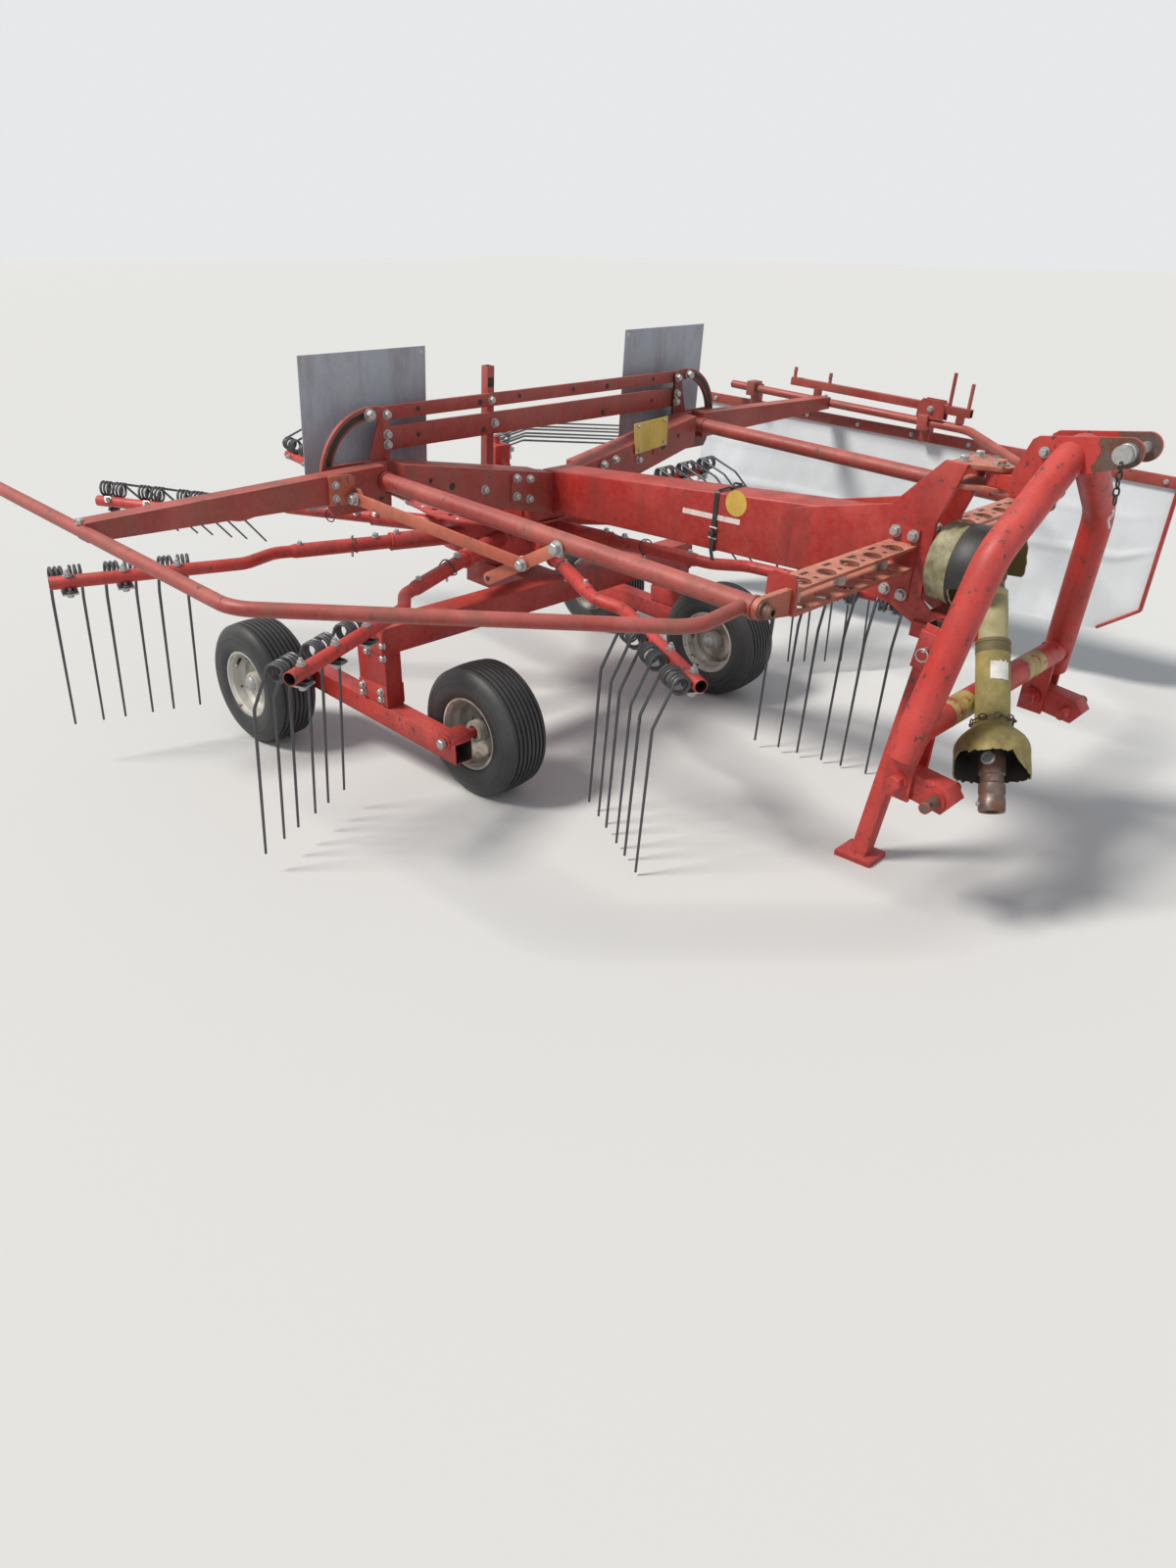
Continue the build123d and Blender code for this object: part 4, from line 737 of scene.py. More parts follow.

# %% [markdown]
# ## Link bars and locking sectors
# Each guard locks in a curved slot, cut in a sector plate at the end of the link bars. The
# slot could be cut through the plate with a boolean, but nothing ever shows behind it, so a
# near-black ribbon along the same arc is painted shade in its place, and near-black patches
# are painted shade for the holes. Two thin rusty lines beside it are where the bolt's washer
# has rubbed the paint away.

# %% Link bars and sectors
LINK_FACE, LINK_BACK, SECTOR_FACE = 234, 224, 246
SLOT_CENTRE, SLOT_R, SLOT_ENDS = (690, 953), 158, (78, 14)
HINGE_Y, HINGE_Z = 712, 946
HINGE_NUT = [(0, 0), (0, 17), (3, 20), (16, 20), (18, 17), (34, 17), (34, 0)]
bm = bmesh.new()
for hand in (-1, 1):
    for y, z, radius in ((283, 1102, 9), (268, 1020, 9), (520, 1106, 7), (120, 1106, 7), (520, 1034, 7)):
        mark(bm, (LINK_FACE, hand * y, z), X, radius, 2)
    for z in (1104, 1050, 1022):
        bolt(bm, (SECTOR_FACE, hand * 641, z), X, 19, 1)
        bolt(bm, (LINK_BACK, hand * 641, z), -X, 19, 1)
    bolt(bm, (SECTOR_FACE, hand * 700, 1109), X, 24, 1)
    # A near-black ribbon on the slot's arc, painted shade for the cut.
    ribbon(bm, front_face(SECTOR_FACE + 0.4, arc(SLOT_CENTRE, SLOT_R, *SLOT_ENDS, 18), hand), X, 0.8, 15, 2)
    for place in front_face(SECTOR_FACE, arc(SLOT_CENTRE, SLOT_R, *SLOT_ENDS, 1), hand):
        mark(bm, place, X, 7.5, 2, 0.8)
    for off in (-9, 9):
        worn = front_face(SECTOR_FACE + 0.6, arc(SLOT_CENTRE, SLOT_R + off, 84, 8, 22), hand)
        ribbon(bm, worn, X, 1.2, 2.4, 3)
    turned(bm, (198, hand * HINGE_Y, HINGE_Z), X, HINGE_NUT, 6, 1)
    mark(bm, (SECTOR_FACE, hand * 668, 880), X, 10, 2)
    bolt(bm, (SECTOR_FACE, hand * HINGE_Y, 880), X, 17, 1)
bolt(bm, (LINK_FACE, -224, 1036), X, 19, 1)
bolt(bm, (LINK_FACE, -238, 1105), X, 17, 1)
piece("sector_fittings", bm, "frame", [RED_DUSTY, ZINC, PAINTED_SHADE_BLACK, RUSTY])
print("each slot spans", SLOT_ENDS[0] - SLOT_ENDS[1], "degrees")

# %% [markdown]
# ## Gearbox
# The gearbox is a cast housing, so it has ribs down its sides, a row of lid bolts, an oil
# plug, a collar on top and a round bearing cover behind. The ribs could be modelled on the
# casting itself, but as slabs that stand a little way into it they take one line each.

# %% Gearbox
LID, REAR_COVER = 812, Vector((-110, 0, 762))
bm = bmesh.new()
for hand in (-1, 1):
    bolts(bm, [(x, hand * 76, LID) for x in (-88, -20, 60, 140, 220)], Z, 15, 1)
    for x in (-70, 30, 130, 230):
        rib = [(x - 4, 724), (x + 4, 724), (x + 4, LID - 4), (x - 4, 800)]
        slab(bm, rib, (0, hand * 93, 0), X, Z, 7, 0)
turned(bm, (0, 0, LID), Z, [(0, 44), (9, 43), (10, 40), (10, 34)], 40, 0)
turned(bm, (0, 0, 928), Z, [(0, 8), (0, 15), (9, 15), (11, 12), (11, 0)], 6, 1)
turned(bm, (180, 40, LID), Z, [(0, 0), (0, 17), (10, 17), (12, 15), (12, 0)], 8, 2)
turned(bm, REAR_COVER, -X, [(0, 0), (0, 52), (6, 50), (8, 44), (8, 0)], 40, 0)
for turn in range(6):
    spot = Vector((-8, 36 * cos(turn * pi / 3), 36 * sin(turn * pi / 3)))
    bolt(bm, REAR_COVER + spot, -X, 12, 1)
piece("gearbox_fittings", bm, "frame", [RED, ZINC, BLACK_RUBBER], bevel=0.0006)
print("bolts on the gearbox:", 2 * 5 + 6)

# %% [markdown]
# ## Racks and forks at the beam's head
# For the road the tine arms are lifted off and stood in racks on both sides of the beam's
# head: each is a channel with five sleeves and three cream pegs. The sleeves' mouths are
# rings that lie on the channel, because the channel is thin and only their lips can be seen.
# In front, two forks hold the upright pin of the headstock, with a bush on each face.

# %% Storage racks
RACK_X, RACK_TOP, HINGE_FRONT = 1588, 967.6, 1608
BUSH = [(0, 0), (0, 21), (5, 21), (5, 13), (25, 13), (27, 11.5), (27, 7), (12, 7), (12, 0)]
END_PLATE = [(1541, 912), (1616, 912), (1616, 985), (1606, 998), (1556, 998), (1541, 986)]
PEG = [(0, 0), (0, 15.2), (2, 16.4), (45, 16.4), (47, 15.2), (47, 0)]
bm = bmesh.new()
for hand in (1, -1):
    for x, z in ((1553, 992), (1602, 990), (1553, 843), (1600, 839)):
        bolt(bm, (x, hand * 78.3, z), Y * hand, 21, 0)
        bolt(bm, (x, hand * 48, z), -Y * hand, 17, 0)
    slab(bm, END_PLATE, (0, hand * 603.5, 0), X, Z, 7, 4)
    # The bush's bore and bottom are near black, painted shade.
    turned(bm, (HINGE_FRONT, hand * HINGE_Y, HINGE_Z), X, BUSH, 28, [2] * 6 + [3] * 2)
    pin = Vector((HINGE_FRONT + 20, hand * HINGE_Y, HINGE_Z))
    rod(bm, pin - Z * 16, pin + Z * 16, 3, 8, 2)
    for step in range(5):
        y = hand * (142.3 + 100 * step)
        turned(bm, (RACK_X, y, RACK_TOP), Z, [(0, 19.6), (1.4, 19.6), (1.4, 22.5), (0, 24)], 32, 2)
        turned(bm, (RACK_X, y, 904.2), Z, [(0, 19.6), (0, 23.5), (1.2, 22.5), (1.2, 19.6)], 32, 2)
        if step < 4:
            # Short near-black slabs for the slot cuts and near-black patches for holes are painted shade.
            slot = (1557 + 4 * (step % 2), y + hand * 50, RACK_TOP + 0.7)
            slab(bm, [(-5, -15), (5, -13), (5, 14), (-4, 15)], slot, X, Y, 0.8, 3)
            mark(bm, (RACK_X + 6, y + hand * 52, RACK_TOP + 0.2), Z, 6, 3)
    for step in range(3):
        y = hand * (148.3 + 190 * step)
        turned(bm, (1565, y, 913), Z, PEG, 24, 1)
        # A near-black patch, painted shade for the peg's hole.
        mark(bm, (1565, y, RACK_TOP + 0.2), Z, 7, 3)
        bolt(bm, (1565, y, 905), -Z, 15, 0)
piece("rack_fittings", bm, "frame", [ZINC, CREAM, RUSTY, PAINTED_SHADE_BLACK, RED])
print("sleeves in the racks:", 2 * 5)

# %% Forks of the upright pin
FORK_X, FORK_HALF = 1745, 30
bm = bmesh.new()
for middle in (1151, 774):
    for way in (1, -1):
        bush(bm, (FORK_X, 0, middle + way * FORK_HALF), Z * way, 12.3, 19, 4)
    rod(bm, (FORK_X, -26, middle + 37), (FORK_X, 26, middle + 37), 3, 8, 0)
bolts(bm, [(1672, hand * 40, 1181.2) for hand in (-1, 1)], Z, 19, 0)
piece("fork_fittings", bm, "frame", [ZINC])
print("bushes in the forks: 4")

# %% [markdown]
# ## Folding stay of the right guard
# Two flat bars, bolted to each other and to the guard, keep it open. A flat bar has round
# ends past its two holes, so its outline is two half circles, and the bar is cut from that
# outline along the line between its bolts, whichever way that line runs.

# %% Folding stay
STAY_PIN, STAY_REAR = Vector((916, -744, 868)), Vector((352, -832, 921))
STAY_TUBE, STAY_TAIL = Vector((1028, -737, 937)), Vector((782, -737, 795))
FOOT = [(-902, 906), (-822, 902), (-818, 974), (-830, 982), (-902, 985)]
CHEEK = [(326, 902), (364, 902), (372, 912), (372, 936), (362, 946), (326, 950)]


def flat_bar(bm, start, end, face, width, thickness):
    """A flat bar with round ends past its two holes; face is the way that its wide side looks."""
    along = (end - start).normalized()
    face = (face - along * face.dot(along)).normalized()
    outline = arc((0, 0), width / 2, 90, 270, 8) + arc(((end - start).length, 0), width / 2, -90, 90, 8)
    slab(bm, outline, start, along, face.cross(along), thickness)


bm = bmesh.new()
flat_bar(bm, STAY_REAR, STAY_PIN, Y, 32, 7)
flat_bar(bm, STAY_TUBE, STAY_TAIL, Y, 32, 6.4)
slab(bm, FOOT, (328.6, 0, 0), Y, Z, 7)
slab(bm, CHEEK, (0, -823.5, 0), X, Z, 6)
bolt(bm, STAY_REAR - Y * 3.5, -Y, 24, 1)
bolt(bm, STAY_PIN - Y * 3.5, -Y, 22, 1)
rod(bm, STAY_PIN, STAY_PIN + Y * 24, 6, 10, 1)
bolt(bm, STAY_PIN + Y * 10, Y, 19, 1)
bolt(bm, STAY_TUBE - Y * 3.2, -Y, 27, 1)
bolts(bm, [(332, -882, 960), (332, -882, 925)], X, 15, 1)
# Near-black patches on both faces of the tail bar, painted shade for its hole.
for way in (-Y, Y):
    mark(bm, STAY_TAIL + way * 3.2, way, 7, 2)
piece("folding_stay", bm, "guard_right", [RED_STAY, ZINC, PAINTED_SHADE_BLACK], bevel=0.001)
print("stay bars:", [round((a - b).length) for a, b in ((STAY_REAR, STAY_PIN), (STAY_TUBE, STAY_TAIL))], "mm")

# %% [markdown]
# ## Headstock
# The top link is pinned between two lugs whose noses have rusted in a ragged patch, with a
# short chain hanging from the pin, and two worn yellow bands lie round the lower cross tube.
# The patches could be noise in the paint, but their outline is sharp and always at the same
# place, so each is a plate that stands less than a millimetre out of the lug.

# %% Chain
LINK_LONG, LINK_WIDE = 0.62, 0.36


def chain(bm, path, pitch, wire, material):
    """Oval links along a path, each turned a quarter from the one before it."""
    points = [Vector(p) for p in path]
    walked = [0.0]
    for first, second in neighbours(points):
        walked.append(walked[-1] + (second - first).length)
    side = (points[1] - points[0]).orthogonal().normalized()
    for link in range(int(walked[-1] / pitch)):
        here = (link + 0.5) * pitch
        index = max(k for k in range(len(points) - 1) if walked[k] <= here)
        along = (points[index + 1] - points[index]).normalized()
        middle = points[index] + along * (here - walked[index])
        side = (side - along * side.dot(along)).normalized()
        wide = side if link % 2 else along.cross(side)
        oval = [middle + along * (LINK_LONG * pitch * cos(pi * k / 8))
                + wide * (LINK_WIDE * pitch * sin(pi * k / 8)) for k in range(16)]
        sweep(bm, oval, wire, 6, material, closed=True)


print("a link overlaps the next by", round(2 * LINK_LONG - 1, 2), "of its pitch")

# %% Headstock
TOP_PIN_X, TOP_PIN_Z, HITCH_X, HITCH_Z = 2036, 1271, 1943, 510
FOOT_TUBE_X, FOOT_TUBE_Z = 1856, 650
NOSE = [(1976, 1217.8), (2034, 1238.7)] + arc((TOP_PIN_X, TOP_PIN_Z), 31.9, -86, 82, 16) + [
    (1969, 1291.4), (1973, 1286), (1972, 1280), (1976, 1274), (1980, 1265), (1979, 1257), (1975, 1250),
    (1976, 1243), (1973, 1237), (1967, 1231), (1970, 1223)]
BAND = [(0, 33.1), (0.4, 33.5), (105, 33.5), (105.4, 33.1)]
bm = bmesh.new()
for hand in (-1, 1):
    out = Y * hand
    slab(bm, NOSE, (0, hand * 55, 0), X, Z, 11.2, 0)
    bush(bm, (TOP_PIN_X, hand * 60.9, TOP_PIN_Z), out, 13.2, 22, 2.5, 1)
    for y, way in ((408, 1), (324, -1)):
        bolt(bm, (1846, hand * y, 525), out * way, 34, 2)
    bead = [(FOOT_TUBE_X + 35 * cos(pi * k / 12), hand * (389 - 3 * (k % 2)),
             FOOT_TUBE_Z + 35 * sin(pi * k / 12)) for k in range(24)]
    sweep(bm, bead, 3.2, 6, 2, closed=True)
    turned(bm, (FOOT_TUBE_X + 0.1, hand * 150, FOOT_TUBE_Z), out, BAND, 40, 3)
    # A near-black patch, painted shade for a hole in the hitch plate.
    mark(bm, (1952.9, hand * 442, 519.9), X + Z, 5, 4, 0.5)
    turned(bm, (HITCH_X, hand * 399, HITCH_Z), out, [(0, 14.1), (0, 14.3), (53, 14.3), (55, 13.6)], 28, 0)
    bush(bm, (HITCH_X, hand * 398.2, HITCH_Z), out, 14.2, 24, 5, 2)
    turned(bm, (HITCH_X, hand * 455, HITCH_Z), out, [(-2, 0), (-2, 14.1), (0, 12.6), (0.3, 0)], 24, 0)
for x, z in ((1868, 1160), (1862, 1240)):
    for hand in (-1, 1):
        bolt(bm, (x, hand * 60.4, z), Y * hand, 17, 1)
rod(bm, (TOP_PIN_X, -70, TOP_PIN_Z), (TOP_PIN_X, -74, TOP_PIN_Z), 22, 24, 1)
chain(bm, [(2040, -99, 1256), (2043, -98, 1230), (2046, -97, 1200), (2050, -97, 1168)], 17, 2.2, 4)
sweep(bm, [(2050 + 3 * sin(k), -97, 1160 - 5 * k) for k in range(9)], 3.2, 8, 1)
piece("headstock_fittings", bm, "headstock", [RUSTY, ZINC, RED_TUBE, BAND_YELLOW, PAINTED_SHADE_BLACK])
print("points in the outline of a rusted nose:", len(NOSE))

# %% [markdown]
# ## Axle ears, walking beams and leg
# Each pair of wheels hangs on a walking beam, which rocks between two collars under the axle.
# Hubs, nuts and collars are what the eye checks here, since a beam alone would seem to float
# beside its wheels. The same few forms serve all four wheels, mirrored from side to side.

# %% Axle ears
EAR = [(226, 425), (226, 492), (243, 508), (297, 508), (314, 492), (314, 425)]
bm = bmesh.new()
for hand in (-1, 1):
    out = Y * hand
    bolts(bm, [(x, hand * 730, z) for x in (232, 310) for z in (415, 455)], out, 17, 1)
    bolt(bm, (270, hand * 731, 492), out, 24, 1)
    slab(bm, EAR, (0, hand * 734, 0), X, Z, 7, 0)
    # Near-black patches, painted shade for the ear's holes.
    for x in (250, 292):
        mark(bm, (x, hand * 737.6, 470), out, 9, 2)
piece("axle_ears", bm, "frame", [RED_TUBE, ZINC, PAINTED_SHADE_BLACK], bevel=0.0015)
print("bolts on the axle ears:", 2 * 5)

# %% Walking beams and leg pin
HUB_HEIGHT, BEAM_Y = 203, 700
COLLAR = [(203, 244), (203, 300), (342, 300), (342, 236)]
bm = bmesh.new()
for hand in (-1, 1):
    for y in (669, 731):
        slab(bm, COLLAR, (0, hand * y, 0), X, Z, 5, 0)
    bolts(bm, [(x, hand * 734, z) for z in (282, 258) for x in (226, 318)], Y * hand, 17, 1)
    for x, reach in ((613, -1), (-213, 1)):
        inward, outward = Y * -reach * hand, Y * reach * hand
        turned(bm, (x, hand * (BEAM_Y - reach * 32.6), HUB_HEIGHT), inward,
               [(0, 0), (0, 24), (4, 24), (5, 18), (5, 0)], 28, 0)
        bolt(bm, (x, hand * (BEAM_Y - reach * 37.6), HUB_HEIGHT), inward, 27, 1, washer=False)
        turned(bm, (x, hand * (BEAM_Y + reach * 32.6), HUB_HEIGHT), outward,
               [(0, 30), (0, 36), (7, 33), (7, 16)], 28, 0)
piece("walking_beam_fittings", bm, "frame", [RED_TUBE, ZINC], GROUND, bevel=0.001)
bm = bmesh.new()
rod(bm, (1738, -108, 758), (1738, -184, 758), 6, 14, 0)
pull_ring = [(1738 + 16 * cos(pi * k / 10), -186, 746 + 16 * sin(pi * k / 10)) for k in range(20)]
sweep(bm, pull_ring, 2, 6, 0, closed=True)
piece("leg_pin", bm, "frame", [ZINC])
print("wheel hubs dressed:", 4)

# %% [markdown]
# ## Tyres
# The machine rolls on four small implement tyres with fine grooves round the tread and a dusty
# side that bulges over the rim. A plain rounded ring would look like a toy, so half the tyre's
# section is drawn with its bead, side, shoulder and grooves, mirrored, and turned about the
# axle.

# %% Tyres
WHEELS = {"front_left": Vector((613, 576, HUB_HEIGHT)), "front_right": Vector((613, -576, HUB_HEIGHT)),
          "rear_left": Vector((-213, 823, HUB_HEIGHT)), "rear_right": Vector((-213, -823, HUB_HEIGHT))}
TREAD_HALF = 56
BEAD = [(60, 104), (66, 108), (70, 113), (73.5, 116), (75.5, 118), (75.5, 121)]


def crown(across):
    """Radius of the tread at a distance from the tyre's middle."""
    return HUB_HEIGHT - 0.3 - 4 * (across / TREAD_HALF) ** 2


def tyre_section():
    """The tyre's outline as (distance across, radius), from one bead over the tread to the other."""
    bulge = [[(60 + 22 * cos(radians(a)), 150 + 44 * sin(radians(a))) for a in angles]
             for angles in ((-36, -22, -10, 2), (26, 38, 50, 62))]
    side = BEAD + bulge[0] + [(80.8, 158), (81.9, 160), (80.4, 162)] + bulge[1]
    side += [(64, 196), (60, 198.4), (TREAD_HALF, crown(TREAD_HALF))]
    tread = []
    for groove in range(48, -49, -16):
        for off, deep in ((3.2, 0), (2.4, 5.5), (-2.4, 5.5), (-3.2, 0)):
            tread.append((groove + off, crown(groove + off) - deep))
    return side + tread + [(-across, radius) for across, radius in reversed(side)]


for name, centre in WHEELS.items():
    bm = bmesh.new()
    turned(bm, centre, Y, tyre_section(), 112, closed=True)
    piece(f"tyre_{name}_ribbed", bm, f"wheel_{name}", [RUBBER], GROUND,
          smooth=50, instead_of=f"tyre_{name}")
print("tyres:", len(WHEELS), "each", 2 * (HUB_HEIGHT - 0.3), "mm high")

# %% [markdown]
# ## Rims
# Each rim is a deep pressed dish with a hub tube, a domed cap, five bolts and a valve, and it
# looks away from the walking beam that carries it. A disc with a picture of a rim would be
# flat from the side, so every part of it is turned from its own profile.

# %% Rims
BARREL = [(-70, 113), (-72, 111), (-71, 106), (-64, 103), (-60, 99), (-40, 96), (-30, 86), (20, 86), (32, 96),
          (60, 99), (64, 103), (71, 106), (72, 111), (70, 113), (66, 108), (58, 104), (36, 101), (26, 91),
          (-32, 91), (-42, 101), (-58, 104), (-66, 108)]
DISH = [(12, 30), (12, 50), (16, 70), (8, 86), (4, 86), (11, 70), (7, 50), (7, 30)]
HUB_TUBE = [(-50, 20), (-50, 32), (-46, 34), (-20, 34), (-18, 30), (18, 30), (20, 34), (46, 34), (50, 32),
            (50, 20)]
CAP = [(49, 0), (49, 27), (53, 27), (54, 24), (60, 21), (65, 13), (67, 0)]
VALVE = Vector((cos(2.4), 0, sin(2.4)))
for name, centre in WHEELS.items():
    bm = bmesh.new()
    way = Y if (abs(centre.y) > BEAM_Y) == (centre.y > 0) else -Y
    for profile, sides in ((BARREL, 72), (DISH, 72), (HUB_TUBE, 40)):
        turned(bm, centre, way, profile, sides, 0, closed=True)
    turned(bm, centre, way, CAP, 32, 1)
    for turn in range(5):
        spot = Vector((cos(2 * pi * turn / 5 + 0.4), 0, sin(2 * pi * turn / 5 + 0.4))) * 41
        turned(bm, centre + spot + way * 11, way, [(0, 0), (0, 7), (3, 6.2), (4.5, 0)], 12, 0)
    foot, tip = centre + way * 40 + VALVE * 96, centre + way * 62 + VALVE * 76
    rod(bm, foot, tip, 4.5, 10, 2)
    rod(bm, tip, tip + (tip - foot).normalized() * 9, 4.0, 10, 1)
    piece(f"rim_{name}_dished", bm, f"wheel_{name}", [CREAM, ZINC, BLACK_RUBBER],
          GROUND, smooth=30, instead_of=f"rim_{name}")
print("rims:", len(WHEELS))

# %% [markdown]
# ## Tines
# Each arm carries three double tines, bent from one spring wire: up the leg, round two and a
# half turns of coil, under the carrier where a plate clamps it, and back out through a second
# coil. Arrayed rings would stand in for the coils, but a true helix is what makes them read
# as springs. A cam rolls the arms as they go round, so each has its own angle.

# %% Arm places
ARM_Z, ARM_PHASE, ARM_ASIDE, ARM_CRANK = 632, 12.4, 90, 55
ARM_ROLLS = (0, 5, 50, 90, 90, 50, 5, 0, 0)
ARMS = len(ARM_ROLLS)
ARM_STEP = 360 / ARMS


def arm_frame(number):
    """An arm's own coordinates: X out along it, Y ahead of it as the rotor turns, Z up."""
    turn = Matrix.Rotation(radians(ARM_PHASE + ARM_STEP * number), 4, "Z")
    tilt = Matrix.Rotation(-radians(ARM_ROLLS[number]), 4, "X")
    return (PARKED @ Matrix.Translation((0, 0, ARM_Z)) @ turn
            @ Matrix.Translation((0, ARM_ASIDE, 0)) @ tilt)


print("arms:", ARMS, "at", ARM_STEP, "degrees")

# %% Tines
WIRE, COIL, COIL_AT, SPAN = 4.5, 24.2, -48.3, 42.0
TURNS, TURN_STEPS, COIL_WIDE = 2.5, 16, 33.6
TINE_PLACES = (1100, 1250, 1400)
CLAMP = [(-22, -21), (22, -21), (22, 21), (-22, 21)]


def double_tine_wire():
    """The path of one wire through both legs and both coils, in the arm's own coordinates."""
    leg = rounded([(SPAN, COIL_AT - COIL - 55, -535), (SPAN, COIL_AT - COIL - 45, -110),
                   (SPAN, COIL_AT - COIL, 0)], 40, 5)
    count = int(TURNS * TURN_STEPS)
    coil = []
    for step in range(1, count + 1):
        angle = pi - 2 * pi * step / TURN_STEPS
        coil.append(Vector((SPAN - COIL_WIDE * step / count, COIL_AT + COIL * cos(angle), COIL * sin(angle))))
    loop = rounded([(8.4, -24.3, -14), (8.4, -20, -24), (8.4, 22, -24), (0, 26, -24)], 8, 3)
    half = leg + coil + loop
    return half + [Vector((-p.x, p.y, p.z)) for p in reversed(half[:-1])]


wire_path = double_tine_wire()
wire_radii = [WIRE * 0.8] + [WIRE] * (len(wire_path) - 2) + [WIRE * 0.8]
for number in range(ARMS):
    bm = bmesh.new()
    for distance in TINE_PLACES:
        here = Vector((distance, ARM_CRANK, 0))
        sweep(bm, [here + point for point in wire_path], wire_radii, 8, 0)
        slab(bm, CLAMP, here + Vector((0, 1, -31)), X, Y, 5, 1)
        bolt(bm, here - Z * 33, -Z, 19, 1)
        bolt(bm, here + Z * 18, Z, 17, 1)
        rod(bm, here + Z * 28, here + Z * 37, 5, 10, 1)
    piece(f"tines_{number + 1}_coiled", bm, "rotor", [SPRING, ZINC], arm_frame(number),
          smooth=40, instead_of=f"tines_{number + 1}")
print("double tines:", ARMS * len(TINE_PLACES), "each of", len(wire_path), "points")

# %% [markdown]
# ## Tine arms
# An arm is a sleeve that slides on its socket, and a cranked carrier tube welded into it,
# open at its outer end. A clip pins it to the rotor, held by a rubber ring that hangs a
# little differently on each arm, so the clip's place and the ring's tilt are drawn at random
# from a fixed seed.

# %% Tine arms
CARRIER, SLEEVE = 19.0, 22.5
SLEEVE_FORM = [(0, 0), (0, 19.5), (3, SLEEVE), (462, SLEEVE), (468, 21.5), (476, CARRIER + 0.6), (476, 0)]
CARRIER_FORM = [(-450, 0), (-450, CARRIER), (-1.5, CARRIER), (0, CARRIER - 1), (0, 16), (-60, 15.5), (-60, 0)]
random.seed(8)
for number in range(ARMS):
    bm = bmesh.new()
    turned(bm, (270, 0, 0), X, SLEEVE_FORM, 28)
    crank = rounded([(700, 0, 0), (800, 0, 0), (900, ARM_CRANK, 0), (1020, ARM_CRANK, 0)], 90, 8)
    sweep(bm, crank, CARRIER, 24)
    # The open end's inside is near black, painted shade.
    turned(bm, (1450, ARM_CRANK, 0), X, CARRIER_FORM, 24, [0] * 4 + [1] * 2)
    for distance, size in ((470, 17), (718, 13)):
        bolt(bm, (distance, 0, SLEEVE - 1), Z, size, 2)
    clip, tilt = 560 + random.uniform(-30, 60), random.uniform(-0.5, 0.5)
    rod(bm, (clip, 0, -SLEEVE - 16), (clip, 0, SLEEVE + 10), 4, 10, 2)
    rubber_ring = []
    for step in range(24):
        angle = 2 * pi * step / 24
        sag = (27 + 22 * (1 - cos(angle + pi / 2)) / 2) * (1 - sin(angle)) * 0.9
        rubber_ring.append((clip + 9 * sin(angle * 2 + tilt), (33 + 5 * tilt) * cos(angle), SLEEVE + 8 - sag))
    sweep(bm, rubber_ring, 2.2, 6, 3, closed=True)
    piece(f"tine_arm_{number + 1}_open", bm, "rotor", [RED_TUBE, PAINTED_SHADE_BLACK, ZINC, BLACK_RUBBER],
          arm_frame(number), instead_of=f"tine_arm_{number + 1}")
print("tine arms:", ARMS)

# %% [markdown]
# ## Rotor
# The hub carries a flat disc with nine low buttons, nine holes and nine sockets for the
# arms. The gearbox turns only 4 mm above the disc, so real bolt heads would hit it. The CAD
# shape is right and keeps its place with rounded edges; buttons, near-black patches that are
# painted shade for the holes, socket bolts and the welds round the sockets' mouths are added.

# %% Rotor trim
DISC_TOP, BUTTON_RING, HOLE_RING = 707.5, 262, 205
BUTTON = [(0, 0), (0, 10), (1.2, 10), (1.2, 7), (3, 5.5), (3, 0)]
edged("rotor_hub", RED_TUBE, 0.0015)
bm = bmesh.new()
for number in range(ARMS):
    angle = radians(ARM_STEP * number + 10)
    turned(bm, (BUTTON_RING * cos(angle), BUTTON_RING * sin(angle), DISC_TOP), Z, BUTTON, 20, 0)
    # A near-black patch, painted shade for a hole in the disc.
    angle = radians(ARM_STEP * number + 17)
    mark(bm, (HOLE_RING * cos(angle), HOLE_RING * sin(angle), DISC_TOP), Z, 8, 1, 0.5)
piece("disc_bolts", bm, "rotor", [ZINC, PAINTED_SHADE_BLACK])
for number in range(ARMS):
    bm = bmesh.new()
    bolt(bm, (398, 0, 28), Z, 15, 0)
    turned(bm, (420, 0, 0), X, [(-6, 28.6), (-3, 30.6), (0, 28.2), (1, 23.5)], 24, 1)
    piece(f"socket_bolt_{number + 1}", bm, "rotor", [ZINC, RED_TUBE], arm_frame(number))
print("on the disc:", ARMS, "buttons and", ARMS, "holes")

# %% [markdown]
# ## Drive cup
# A ribbed plastic cup guards the input, with a black strap round it and a ragged, sun-eaten
# rim. A turned form gives only a level rim. This one depends on the angle, so the shell is
# woven ring by ring, and each point stops where a function of its direction says.

# %% Shells with a rim of their own
def held(value):
    """A number held between 0 and 1."""
    return min(1.0, max(0.0, value))


